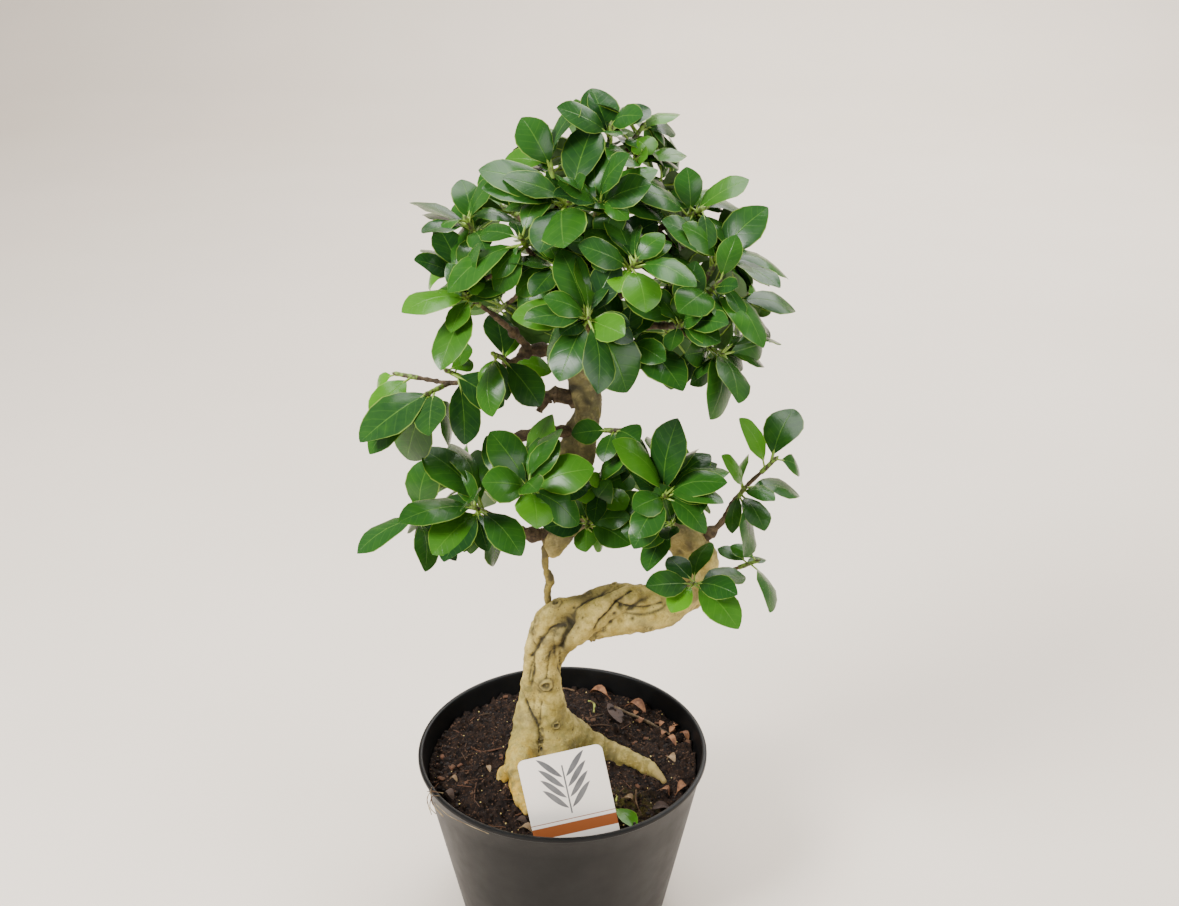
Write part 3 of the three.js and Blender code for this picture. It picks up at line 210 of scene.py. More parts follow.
# The sprays that show from the front. path: where the twig leaves the wood, and where it ends.
# leaves: across and up of the tip, the length (below zero when the tip comes towards the front),
# the width that shows, and for some how young the leaf is, from 0 to 1. stem and fill: the
# shoot's length and how many leaves a rule adds.
FRONT_SPRAYS = {
    "apex": {"path": [[32, 585, 0], [33, 597, 0]],
        "leaves": [[22, 633, 38, 24], [0, 621, -42, 15], [58, 621, 36, 14], [54, 616, -34, 13]]},
    "apex_right": {"path": [[29, 566, 0], [38, 585, 8], [47, 599, 12]],
        "leaves": [[60, 592, -22, 16, 0.6], [77, 617, 34, 8, 0.4], [74, 606, 32, 10], [68, 598, 28, 8]]},
    "apex_low": {"path": [[28, 560, 1], [38, 574, -2], [46, 583, -4]],
        "leaves": [[82, 591, 38, 9, 0.35], [77, 583, 32, 7], [57, 590, -20, 12, 0.5], [48, 603, 26, 14]],
        "fill": 1},
    "upper_left_tip": {"path": [[-6, 545, -22], [0, 562, -24], [-3, 578, -22]],
        "leaves": [[-22, 615, 36, 23], [-33, 589, 32, 16, 0.35], [-8, 598, 22, 12, 0.4]], "fill": 1},
    "upper_left": {"path": [[-7, 542, -21], [3, 556, -30]],
        "leaves": [[4, 531, -44, 30], [-12, 528, -46, 24], [-34, 556, 40, 11], [-35, 577, -44, 16],
            [23, 610, 52, 26], [18, 578, -24, 7]], "fill": 1},
    "upper_mid": {"path": [[24, 534, 3], [25, 546, -18], [26, 554, -30]],
        "leaves": [[30, 600, 46, 26], [64, 582, -42, 17], [60, 573, -42, 19], [70, 550, 46, 14],
            [46, 550, -24, 12], [10, 574, 30, 14]], "fill": 2},
    "far_left": {"path": [[-38, 519, -10], [-48, 530, -12], [-53, 539, -13]],
        "leaves": [[-61, 576, 38, 20], [-95, 561, 44, 8], [-87, 553, 38, 8], [-88, 541, -38, 9],
            [-40, 576, -36, 9], [-43, 571, 34, 13], [-27, 549, 30, 9]], "fill": 1},
    "left_mid": {"path": [[-36, 516, -10], [-50, 510, -18], [-60, 511, -23]],
        "leaves": [[-77, 545, 38, 21], [-51, 537, -28, 17], [-94, 523, -36, 13], [-57, 541, 34, 14],
            [-88, 530, 34, 8], [-85, 507, 28, 11, 0.6]], "fill": 1},
    "left_front": {"path": [[-10, 522, -14], [-18, 528, -32], [-21, 533, -42]],
        "leaves": [[-73, 501, -56, 17], [-37, 513, 26, 10], [-50, 541, 34, 14], [-28, 549, 20, 10]]},
    "left_low": {"path": [[-40, 483, -31], [-53, 493, -42]],
        "leaves": [[-80, 446, -52, 22, 0.3], [-104, 487, -50, 15, 0.45], [-72, 473, -30, 14, 0.4],
            [-33, 503, -28, 11], [-46, 505, -16, 8, 0.5]], "fill": 1},
    "front": {"path": [[15, 478, 5], [17, 480, -35], [19, 482, -64]],
        "leaves": [[46, 430, -50, 36], [1, 530, 44, 24], [44, 471, -32, 21, 0.45], [-10, 497, -34, 14],
            [0, 438, -44, 26], [-23, 482, -44, 16], [30, 516, 34, 17], [-31, 484, 46, 22, 0.45],
            [12, 526, 40, 13, 0.3], [26, 429, -50, 20]]},
    "centre_right": {"path": [[19, 503, 5], [34, 497, -30], [46, 515, -52]],
        "leaves": [[13, 533, -40, 18], [39, 501, -20, 20, 0.9], [58, 487, -34, 25, 0.4],
            [91, 505, -44, 16], [69, 540, -26, 16], [77, 523, 30, 12], [34, 541, 28, 8],
            [52, 546, 28, 8]]},
    "right_top": {"path": [[66, 544, -6], [76, 547, -10], [83, 551, -14]],
        "leaves": [[82, 584, 30, 18], [122, 576, 42, 14, 0.3], [99, 570, 30, 12, 0.3],
            [68, 566, 28, 14], [118, 556, 40, 9], [97, 530, -30, 12]], "fill": 2},
    "right": {"path": [[76, 478, -31], [90, 496, -32], [99, 514, -28]],
        "leaves": [[135, 558, 50, 24], [118, 550, 38, 13], [67, 549, -50, 13], [80, 546, -40, 11],
            [151, 510, 50, 10], [146, 504, -46, 9], [139, 505, 38, 7]]},
    "right_mid": {"path": [[77, 478, -32], [90, 490, -40], [97, 498, -42]],
        "leaves": [[137, 462, -52, 18], [118, 505, -26, 10], [122, 484, -30, 9]], "fill": 2},
    "right_out": {"path": [[72, 478, -26], [94, 484, -20], [111, 493, -16]],
        "leaves": [[157, 488, 46, 13], [131, 499, 24, 13, 0.4]], "fill": 1},
    "right_low": {"path": [[74, 478, -28], [79, 478, -46]],
        "leaves": [[75, 460, -24, 13], [108, 466, -34, 17], [92, 470, 26, 14], [113, 479, -38, 14]],
        "fill": 2},
    "right_under": {"path": [[76, 478, -30], [88, 470, -36], [98, 464, -40]],
        "leaves": [[103, 410, -56, 17], [122, 422, -52, 14], [138, 449, 42, 10], [124, 449, 30, 11],
            [148, 464, 50, 9], [93, 440, -30, 9]], "fill": 1},
    "centre_low": {"path": [[36, 481, -3], [41, 473, -24], [44, 468, -38]],
        "leaves": [[84, 431, -58, 23], [62, 490, 30, 16], [66, 466, 30, 15]], "fill": 2},
    "left_twig_end": {"path": [[-82, 438, -19], [-97, 441, -17]],
        "leaves": [[-129, 411, -42, 20, 0.55], [-124, 431, 28, 9, 0.8]]},
    "left_twig_mid": {"path": [[-74, 437, -20], [-80, 434, -26]],
        "leaves": [[-138, 393, -64, 26], [-90, 398, -42, 21], [-106, 380, 58, 30], [-76, 391, 50, 14]]},
    "left_twig_inner": {"path": [[-60, 438, -22], [-66, 441, -26]],
        "leaves": [[-66, 391, -48, 21], [-62, 466, 26, 14, 0.3], [-38, 420, 34, 24],
            [-58, 452, 24, 12, 0.5]]},
    "left_node": {"path": [[-32, 452, -18], [-38, 455, -28]],
        "leaves": [[-13, 420, -40, 23], [-52, 433, -22, 12, 0.55], [-43, 421, -34, 13, 0.3],
            [-36, 424, -28, 9]]},
    "left_lower": {"path": [[-44, 335, -25], [-53, 339, -36]],
        "leaves": [[-96, 388, -58, 23], [-92, 305, -50, 29, 0.35], [-115, 331, -60, 19],
            [-28, 304, -46, 24], [-48, 296, 48, 15], [-75, 392, 52, 16]], "fill": 2},
    "left_lower_far": {"path": [[-40, 333, -20], [-70, 336, -12], [-93, 335, -6]],
        "leaves": [[-146, 306, 52, 15], [-90, 381, -48, 24], [-98, 291, -44, 15], [-75, 300, 40, 12]],
        "fill": 1},
    "lower_front": {"path": [[-3, 352, 0], [-13, 355, -28], [-20, 357, -50]],
        "leaves": [[-5, 414, 52, 17, 0.55], [-48, 401, -46, 28], [24, 373, -46, 28, 0.3],
            [-17, 326, -34, 27, 0.5], [-55, 362, -38, 24], [2, 403, 44, 12], [13, 329, 42, 24]],
        "fill": 2},
    "lower_right": {"path": [[70, 333, 12], [73, 342, -24], [73, 349, -48]],
        "leaves": [[81, 411, -58, 25], [36, 394, -56, 16, 0.4], [117, 362, -46, 19], [51, 341, -32, 20],
            [54, 318, -38, 22], [115, 346, -42, 13], [103, 322, -38, 16], [61, 397, 50, 12],
            [96, 388, 44, 10], [109, 377, 44, 12]]},
    "lower_right_under": {"path": [[70, 332, 10], [77, 331, -20], [78, 330, -34]],
        "leaves": [[62, 291, -42, 18], [76, 317, -22, 14]], "fill": 2},
    "under_mid": {"path": [[22, 337, 10], [21, 334, -12], [20, 331, -22]],
        "leaves": [[18, 307, -24, 17, 0.4], [50, 313, -36, 22], [29, 308, 24, 11, 0.5]], "fill": 1},
    "mid_inner": {"path": [[36, 340, 12], [30, 350, -8], [29, 354, -14]],
        "leaves": [[46, 341, -28, 18, 0.5], [20, 340, -24, 14, 0.6], [10, 350, -24, 14, 0.7],
            [52, 366, 28, 20], [48, 379, 36, 13], [20, 368, -20, 9, 0.7]], "fill": 2},
    "centre_pair": {"path": [[19, 408, 0], [26, 402, -12], [32, 402, -16]],
        "leaves": [[8, 399, -26, 18], [55, 393, -26, 19], [38, 383, -18, 8]]},
    "right_sprig_end": {"path": [[120, 345, 0], [130, 359, -2], [141, 371, -4]],
        "leaves": [[123, 411, -42, 13, 0.6], [160, 418, 46, 26], [167, 370, 30, 12]]},
    "right_sprig_mid": {"path": [[119, 341, 0], [125, 351, -10]],
        "leaves": [[131, 303, -52, 9], [145, 324, -38, 16], [151, 348, -30, 11],
            [112, 383, -34, 9, 0.5], [130, 383, 34, 9, 0.4], [168, 352, 44, 12]]},
    "right_lower_sprig": {"path": [[94, 283, 7], [112, 288, 8], [129, 295, 5]],
        "leaves": [[147, 301, 20, 6], [152, 257, -46, 9], [121, 312, 22, 9]]},
    "bottom_right": {"path": [[90, 280, 4], [93, 281, -20], [95, 281, -32]],
        "leaves": [[130, 243, -50, 24, 0.3], [107, 315, 36, 15], [61, 279, -38, 20],
            [80, 257, -28, 18, 0.95], [128, 272, -38, 18], [77, 303, 30, 17], [133, 287, 42, 14]]},
}

# The sprays inside the crown and behind it
REAR_SPRAYS = {
    "rear_top": {"path": [[29, 563, 0], [24, 574, 14], [20, 584, 24]], "stem": 20, "fill": 8},
    "rear_top_right": {"path": [[27, 552, 1], [45, 562, 24], [60, 570, 38]], "stem": 24, "fill": 9},
    "rear_upper_left": {"path": [[-8, 540, -18], [-20, 548, 2], [-26, 552, 14]],
        "leaves": [[-46, 583, 38, 22]], "stem": 26, "fill": 8},
    "rear_left": {"path": [[-20, 507, -8], [-28, 498, 12], [-34, 493, 24]], "stem": 28, "fill": 10},
    "rear_middle": {"path": [[-1, 478, 52], [-2, 496, 68], [0, 512, 78]], "stem": 30, "fill": 11},
    "rear_low": {"path": [[6, 468, 38], [8, 466, 58], [10, 468, 72]], "stem": 28, "fill": 10},
    "rear_right_high": {"path": [[66, 509, 48], [72, 524, 54], [74, 538, 58]], "stem": 30, "fill": 11},
    "rear_right": {"path": [[67, 510, 49], [80, 506, 54], [92, 502, 56]], "stem": 30, "fill": 11},
    "rear_right_low": {"path": [[60, 507, 44], [66, 492, 58], [70, 480, 68]], "stem": 28, "fill": 10},
    "rear_right_side": {"path": [[64, 543, -5], [82, 530, 12], [96, 530, 20]], "stem": 28, "fill": 10},
    "inner_left": {"path": [[-36, 451, -20], [-37, 452, -8], [-37, 452, 0]],
        "leaves": [[-42, 487, 38, 22], [-5, 445, 34, 14, 0.7], [-30, 474, 26, 14, 0.6]], "stem": 16},
    "inner_middle": {"path": [[20, 510, 5], [24, 515, -12], [26, 520, -22]], "stem": 22, "fill": 8},
    "inner_left_high": {"path": [[0, 500, -5], [3, 508, -22], [2, 515, -36]],
        "leaves": [[-33, 521, -38, 7], [-38, 513, 44, 16], [-28, 499, 34, 15]], "stem": 16, "fill": 4},
    "inner_right": {"path": [[60, 479, -18], [66, 490, -12], [72, 500, -9]], "stem": 24, "fill": 9},
    "lower_rear_left": {"path": [[-3, 348, 2], [-26, 352, 20], [-46, 356, 28]], "stem": 30, "fill": 11},
    "lower_rear_middle": {"path": [[20, 338, 10], [16, 346, 32], [14, 352, 44]], "stem": 26, "fill": 9},
    "lower_rear_right": {"path": [[66, 334, 12], [72, 344, 30], [78, 352, 42]], "stem": 28, "fill": 10},
}
SPRAYS = {**FRONT_SPRAYS, **REAR_SPRAYS}

# More leaves of the same sprays, which the frame goes without, in rows like theirs
MORE_LEAVES = {
    "upper_left": [(-50, 582, 56, 22)],
    "centre_right": [(34, 552, 42, 18), (62, 538, 30, 17), (76, 512, 34, 15)],
    "front": [(-8, 452, 50, 20)],
    "centre_pair": [(30, 378, -26, 15)],
    "right_mid": [(112, 480, -26, 14)],
    "right_sprig_end": [(171, 372, 34, 19)],
    "right_sprig_mid": [(169, 357, 46, 17), (122, 322, -30, 11)],
    "right_lower_sprig": [(112, 310, 26, 10)],
    "left_twig_mid": [(-132, 384, -58, 20)],
    "left_node": [(-46, 412, -44, 16)],
    "left_lower": [(-84, 299, -50, 22)],
    "lower_right": [(104, 384, 46, 18), (118, 370, 46, 16)],
}

# Blade of the pattern leaf: share of the way from its root to its tip, and half its width
BLADE = [
    (0.15, 0.035), (0.23, 0.18), (0.36, 0.365), (0.52, 0.485), (0.68, 0.495), (0.8, 0.42),
    (0.88, 0.31), (0.94, 0.195), (0.98, 0.09), (1.0, 0.012),
]
LEAF_COLUMNS = 4
LEAF_THICKNESS = 0.45

# The pattern leaf's stalk, which is drawn out under the blade as its midrib: how far each stretch
# reaches, and how slim it ends as a share of its start
STALK_LENGTH = 0.18
STALK_DROP = -0.4
MIDRIB = [(0.34, 0.62), (0.42, 0.4)]
MIDRIB_DROP = -0.45

# How leaves grow on a shoot: where along it, how long, and how they spread
FILLER_LENGTHS = (26, 42)
LEAF_SLIMNESS = 0.47
LEAF_FULLNESS = 1.09
SEEN_SPAN = (0.15, 0.8)
RULED_SPAN = (0.1, 0.86)
POSES = 30
POSE_STEP = 0.06
POSE_SHRINK = 0.011
POSE_MATCH = 0.5
GOLDEN_ANGLE = 2.399963
SHOOT_GAP = 0.35
SHOOT_LENGTH = 16
REAR_LEAF_LENGTH = 49
REAR_LEAF_FALL = 0.2
REAR_LEAF_SPREAD = 0.24
REAR_LEAF_UPTURN = 0.5
REAR_LEAF_WIDTH = 0.52
REAR_LOWEST_TURN = 1.65
REAR_HIGHEST_TURN = 0.55

# How far behind a small leaf another leaf still counts as hidden by it
CROWN_REACH = 70

# A shoot's radius along it, with a swollen node and a pointed bud
SHOOT = [(-0.1, 1.9), (0.1, 1.85), (0.2, 1.95), (0.35, 1.6), (0.5, 1.7), (0.62, 1.45),
    (0.72, 1.6), (0.8, 1.75), (0.87, 1.45), (0.94, 0.85), (1.0, 0.2)]

# The limbs that are skinned over together with the trunk
IN_TRUNK = ("leader", "knob_under_bend")

# Where the right root runs out, and where the peat has an olive film
RIGHT_ROOT_TIP = (88, -34, 124)
MOSSY_SPOT = (45, -60, 125)

# The pot, and the peat in it
POT_HEIGHT = 140
POT_BASE_RADIUS = 80.5
POT_TOP_RADIUS = 108.5
POT_SIDES = 128
HOLE_CIRCLE_RADIUS = 62
PEAT_LEVEL = 124
PEAT_EDGE_HEIGHT = 121
PEAT_EDGE_GAP = 2.4
PEAT_FLOOR_HEIGHT = 4
PEAT_FLOOR_GAP = 2.8
OVERHEAD = 300

# What is strewn over the peat: how far out, and the shape of one crumb of each kind
STREWN_RADIUS = 101.5
CRUMB_SHAPES = {"lump": (1, 0.85, 0.7), "chip": (1.3, 0.8, 0.35), "fibre": (6, 0.32, 0.32)}

# The label: the left end of its foot, and the directions up and across it
LABEL_FOOT = Vector((-16.5, -94.7, 115.7))
LABEL_UP = Vector((-0.2, 0.2116, 0.957))
LABEL_ACROSS = Vector((0.984, 0.105, 0.147))

# The outlines of the crown's two tiers as they show from the front
UPPER_CROWN = [
    (0, 600), (3, 618), (12, 627), (22, 632), (32, 628), (37, 618), (45, 618), (57, 620),
    (58, 613), (75, 616), (74, 606), (80, 590), (66, 584), (82, 583), (90, 575), (96, 570),
    (118, 574), (103, 560), (118, 556), (134, 556), (128, 540), (114, 522), (150, 511),
    (130, 500), (152, 488), (136, 482), (146, 466), (128, 462), (138, 449), (112, 450),
    (119, 430), (114, 424), (105, 438), (101, 414), (88, 434), (72, 431), (62, 438), (50, 444),
    (38, 431), (4, 438), (-8, 452), (-22, 470), (-40, 472), (-42, 485), (-60, 488), (-68, 470),
    (-77, 450), (-80, 470), (-80, 486), (-100, 488), (-72, 503), (-86, 508), (-80, 520),
    (-90, 523), (-80, 532), (-86, 541), (-92, 560), (-75, 560), (-65, 574), (-50, 566),
    (-45, 580), (-30, 584), (-30, 600), (-22, 613), (-8, 611), (-3, 598),
]
LOWER_CROWN = [
    (-100, 378), (-75, 388), (-58, 398), (-30, 401), (-6, 411), (4, 395), (18, 362), (27, 366),
    (36, 392), (54, 392), (62, 395), (79, 409), (90, 385), (97, 372), (108, 352), (106, 336),
    (92, 326), (76, 318), (62, 294), (50, 312), (18, 308), (0, 308), (-12, 312), (-28, 305),
    (-46, 298), (-60, 301), (-94, 293), (-100, 306), (-116, 330), (-106, 346),
]

# What lies on the peat: the stalk end and tip, the width, arch and fold of each leaf
FALLEN_LEAVES = {
    "fallen_leaf": ((38, -58, 126.6), (54, -79, 125.4), 13, 0.12, 0.25),
    "dry_leaf_left": ((38, 84, 124.8), (20, 92, 125.4), 9, 0.28, 0.9),
    "dry_leaf_right": ((50, 74, 124.8), (66, 64, 125.2), 9, 0.33, 0.8),
}
DRY_TWIG = [[39.5, 174.4, 70, 1.1], [53.8, 166.8, 58, 1.3], [67.5, 159.3, 47, 1.1],
    [81.8, 149.4, 32, 0.9]]

# The dry bits on the twig: share of its length, and how far each reaches away
TWIG_BITS = [(0.35, 5), (0.55, -6), (0.8, 7), (0.9, -5), (0.97, 8)]

# Thin stems on the peat and over the rim: colour, radius, and points across, away and above it
LOOSE_STEMS = [
    ("crumb_red", 0.6, [(-72, 18, 0.4), (-65, 14.5, 1), (-56, 13, 1.2), (-47.5, 14, 1), (-39, 15, 0)]),
    ("crumb_red", 0.4, [(-88, 41, 0.3), (-84, 38, 1), (-79, 32, 0.3)]),
    ("crumb_red", 0.45, [(-64.4, -22, 0.3), (-65, -37, 1.2), (-63.5, -52, 0.2)]),
    ("crumb_red", 0.6, [(-38.5, -62, 0.3), (-32, -63.5, 1.2), (-26.8, -59.6, 0.3)]),
    ("crumb_red", 0.5, [(84, -20, 0.2), (88, -28, 1.2), (86, -36, 0.4)]),
    ("twig", 0.5, [(11, 54, 0.3), (21, 56.5, 1), (32, 63, 0.4)]),
    ("twig", 0.45, [(14, 44, 0.3), (30, 47, 1), (44, 44, 0.4)]),
    ("twig", 0.5, [(-76, 52, 0.3), (-68, 60, 1), (-57, 63, 0.4)]),
    ("sprout", 0.8, [(19.8, 78, 0.4), (24.2, 72, 2.2), (24, 64, 0.6)]),
    ("sprout", 0.8, [(41, -46, 1), (40, -51, 2), (40.5, -57, 2)]),
    ("husk", 0.7, [(-4, 98, 1), (1, 97, 2), (8, 95, 1)]),
    ("husk", 0.7, [(55, -44, 6), (54.5, -51, 3), (58, -60, 0.4)]),
    ("straw", 0.35, [(-90, -58, 17), (-94, -60, 19.5), (-97, -64, 15), (-93.5, -70, 6)]),
    ("straw", 0.3, [(-88, -62, 16.5), (-93, -65, 18.5), (-94.5, -69, 12), (-90, -72, 8)]),
    ("straw", 0.4, [(-95, -52, 17), (-94.5, -60, 18.8), (-92.5, -68, 14), (-84, -79, 11)]),
    ("straw", 0.3, [(-98, -54, 15), (-92, -60, 19), (-86, -58, 16.2)]),
    ("straw", 0.22, [(-92, -67, 15), (-80, -80, 12.5), (-66, -91, 13), (-50, -100, 12)]),
]

# Dead leaves on the peat: colour, stalk end and tip, width, arch and fold
LOOSE_LEAVES = [
    ("dead_leaf", (34, 82), (46, 50), 11, 0.05, 0.15),
    ("dead_leaf", (64, -60), (79, -56), 8, 0.22, 0.8),
    ("dead_leaf", (-88, -38), (-80, -46), 6, 0.3, 0.6),
    ("dead_leaf", (-34, -70), (-24, -74), 6, 0.3, 0.6),
    ("dry_leaf", (72, -36), (80, -38), 6, 0.35, 0.9),
    ("dry_leaf", (84, -41), (95, -30), 8, 0.35, 0.9),
    ("dry_leaf", (80, 27), (88, 18), 6, 0.3, 0.8),
    ("dry_leaf", (92, 33), (98, 24), 5, 0.3, 0.8),
    ("dry_leaf", (86, 41), (91, 46), 4, 0.3, 0.8),
    ("husk", (80, 3), (86, -4), 7, 0.35, 0.9),
    ("husk", (44, -50), (53, -50), 6, 0.35, 1.0),
    ("husk", (-30, -80), (-20, -84), 6, 0.3, 0.8),
    ("husk", (-58, -6.5), (-55, -15), 3.5, 0.25, 0.9),
    ("husk", (-85, -21), (-79, -25), 4, 0.3, 0.8),
]

# The studio, in metres. Each light has its size, its place and the point that it faces. The
# floor curves up behind in steps of (rise, retreat).
LIGHTS = {
    "key": (0.7, (-1.2, -0.9, 1.6), (0, 0, 0.35)),
    "fill": (1.0, (1.6, -0.7, 1.2), (0, 0, 0.3)),
    "top": (0.8, (0.1, 0.3, 2.0), (0, 0, 0.3)),
    "backdrop": (2.5, (1.0, 2.3, 2.4), (1.0, 2.6, 0)),
}
SKY_COLOUR = (1, 0.985, 0.96, 1)
SENSOR_WIDTH = 36
FLOOR_STEPS = [(0.05, 0.4), (0.2, 0.3), (0.45, 0.2), (0.8, 0.1), (2.5, 0.0)]


def place(row):
    """The point at the row's depth on the sight line through its [across, up]."""
    across, up, depth = row[:3]
    reach = 1 - depth / EYE.y
    return Vector((EYE.x + (across - EYE.x) * reach, depth, EYE.z + (up - EYE.z) * reach))


def along(values, spot):
    """Where a smooth course through all the values is at `spot`, which counts the values."""
    last = len(values) - 1
    low = min(max(int(spot), 0), last - 1)
    a, b, c, d = (np.asarray(values[min(max(low + k, 0), last)], float) for k in (-1, 0, 1, 2))
    t = spot - low
    return b + 0.5 * t * (c - a + t * (2 * a - 5 * b + 4 * c - d + t * (3 * b - a - 3 * c + d)))


def bell(distance):
    """1 where the distance is 0, falling smoothly to nothing beyond about 2."""
    return np.exp(-(distance**2))


def square_to(vector, way):
    """The part of the vector that is square to the way, a unit long."""
    return (vector - way * vector.dot(way)).normalized()


def deselect():
    """Nothing selected, in object mode."""
    if bpy.context.object and bpy.context.object.mode != "OBJECT":
        bpy.ops.object.mode_set(mode="OBJECT")
    bpy.ops.object.select_all(action="DESELECT")


def work_on(piece):
    """The piece alone is selected and active."""
    deselect()
    piece.select_set(True)
    bpy.context.view_layer.objects.active = piece


def named(name):
    """The piece just added, under its name."""
    piece = bpy.context.object
    piece.name = name
    piece.data.name = name
    return piece


def pick(test, kind="verts"):
    """In edit mode, selects the vertices, edges or faces that pass the test, and nothing else."""
    bpy.ops.mesh.select_mode(type={"verts": "VERT", "edges": "EDGE", "faces": "FACE"}[kind])
    bpy.ops.mesh.select_all(action="DESELECT")
    mesh = bpy.context.object.data
    drawn = bmesh.from_edit_mesh(mesh)
    for item in getattr(drawn, kind):
        item.select_set(bool(test(item)))
    drawn.select_flush_mode()
    bmesh.update_edit_mesh(mesh)


def modify(piece, kind, **settings):
    """Adds a modifier with these settings to the piece and applies it."""
    work_on(piece)
    bpy.ops.object.modifier_add(type=kind)
    modifier = piece.modifiers[-1]
    for key, value in settings.items():
        setattr(modifier, key, value)
    bpy.ops.object.modifier_apply(modifier=modifier.name)


def coordinates(piece):
    """The piece's vertices, in millimetres."""
    flat = np.empty(3 * len(piece.data.vertices), np.float32)
    piece.data.vertices.foreach_get("co", flat)
    return flat.reshape(-1, 3).astype(float) / MM


def move_to(piece, points):
    """Puts the piece's vertices at these points, in millimetres, no further than the frame's box."""
    inside = np.clip(np.asarray(points) * MM, FRAME_LOW, FRAME_HIGH)
    piece.data.vertices.foreach_set("co", inside.astype(np.float32).ravel())
    piece.data.update()


def normals(piece):
    """The unit normals of the piece's vertices."""
    flat = np.empty(3 * len(piece.data.vertices), np.float32)
    piece.data.vertex_normals.foreach_get("vector", flat)
    return flat.reshape(-1, 3).astype(float)


def write_values(piece, name, values):
    """Stores one number for each vertex under this name, for the materials."""
    layer = piece.data.attributes.get(name)
    if not layer:
        layer = piece.data.attributes.new(name, "FLOAT", "POINT")
    layer.data.foreach_set("value", np.broadcast_to(values, len(piece.data.vertices)).astype(np.float32))


def joined(pieces, name):
    """The pieces as one, under this name."""
    deselect()
    for piece in pieces:
        piece.select_set(True)
    bpy.context.view_layer.objects.active = pieces[0]
    if len(pieces) > 1:
        bpy.ops.object.join()
    return named(name)


def copy_of(pattern):
    """A copy of the pattern with a mesh of its own."""
    copy = pattern.copy()
    copy.data = pattern.data.copy()
    bpy.context.collection.objects.link(copy)
    return copy


def finished(piece, slot, *nodes, materials=()):
    """The piece dressed, riding on the frame and standing for its nodes."""
    for material in materials:
        piece.data.materials.append(material)
    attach(piece, "root")
    if nodes:
        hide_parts(*nodes)
    return piece


def run_along(rows, rough, step=RUN_STEP):
    """Points with their radii along rows [across, up, depth, radius], `step` apart."""
    points = [place(row) for row in rows]
    length = sum((b - a).length for a, b in zip(points, points[1:]))
    count = max(4, round(length / step))
    values = [(*point, row[3]) for point, row in zip(points, rows)]
    run = []
    for i in range(count + 1):
        *spot, radius = along(values, i / count * (len(rows) - 1))
        spot = Vector(spot)
        run.append((spot, radius * (1 + rough * noise(spot * 0.35))))
    return run


def wood(name, runs, rounds):
    """Round pieces of wood, one along each run of points and radii, as one mesh."""
    deselect()
    bpy.ops.curve.primitive_nurbs_path_add(location=(0, 0, 0))
    curve = bpy.context.object.data
    curve.splines.clear()
    for run in runs:
        spline = curve.splines.new("POLY")
        spline.points.add(len(run) - 1)
        for knot, (spot, radius) in zip(spline.points, run):
            knot.co = (*(spot * MM), 1)
            knot.radius = radius
    curve.bevel_depth = MM
    curve.bevel_resolution = rounds
    curve.use_fill_caps = True
    bpy.ops.object.convert(target="MESH")
    piece = named(name)
    bpy.ops.object.mode_set(mode="EDIT")
    bpy.ops.mesh.select_all(action="SELECT")
    bpy.ops.mesh.remove_doubles(threshold=1e-6)
    bpy.ops.mesh.normals_make_consistent(inside=False)
    bpy.ops.object.mode_set(mode="OBJECT")
    bpy.ops.object.shade_smooth_by_angle(angle=math.radians(50))
    return piece


class Value:
    """A number that varies over a surface. Python's operators on it add Math nodes."""

    def __init__(self, finish, socket):
        self.finish = finish
        self.socket = socket

    def maths(self, operation, *inputs, clamp=False):
        settings = {"operation": operation, "use_clamp": clamp}
        return self.finish.add("ShaderNodeMath", settings, dict(enumerate(inputs)))

    def __add__(self, other):
        return self.maths("ADD", self, other)

    def __sub__(self, other):
        return self.maths("SUBTRACT", self, other)

    def __rsub__(self, other):
        return self.maths("SUBTRACT", other, self)

    def __mul__(self, other):
        return self.maths("MULTIPLY", self, other)

    def __abs__(self):
        return self.maths("ABSOLUTE", self)

    __radd__ = __add__
    __rmul__ = __mul__

    def step(self, low, high):
        """0 below `low` and 1 above `high`, smooth between them."""
        sockets = {"Value": self, "From Min": low, "From Max": high}
        return self.finish.add("ShaderNodeMapRange", {"interpolation_type": "SMOOTHSTEP"}, sockets)

    def clamped(self):
        return self.maths("ADD", self, 0.0, clamp=True)


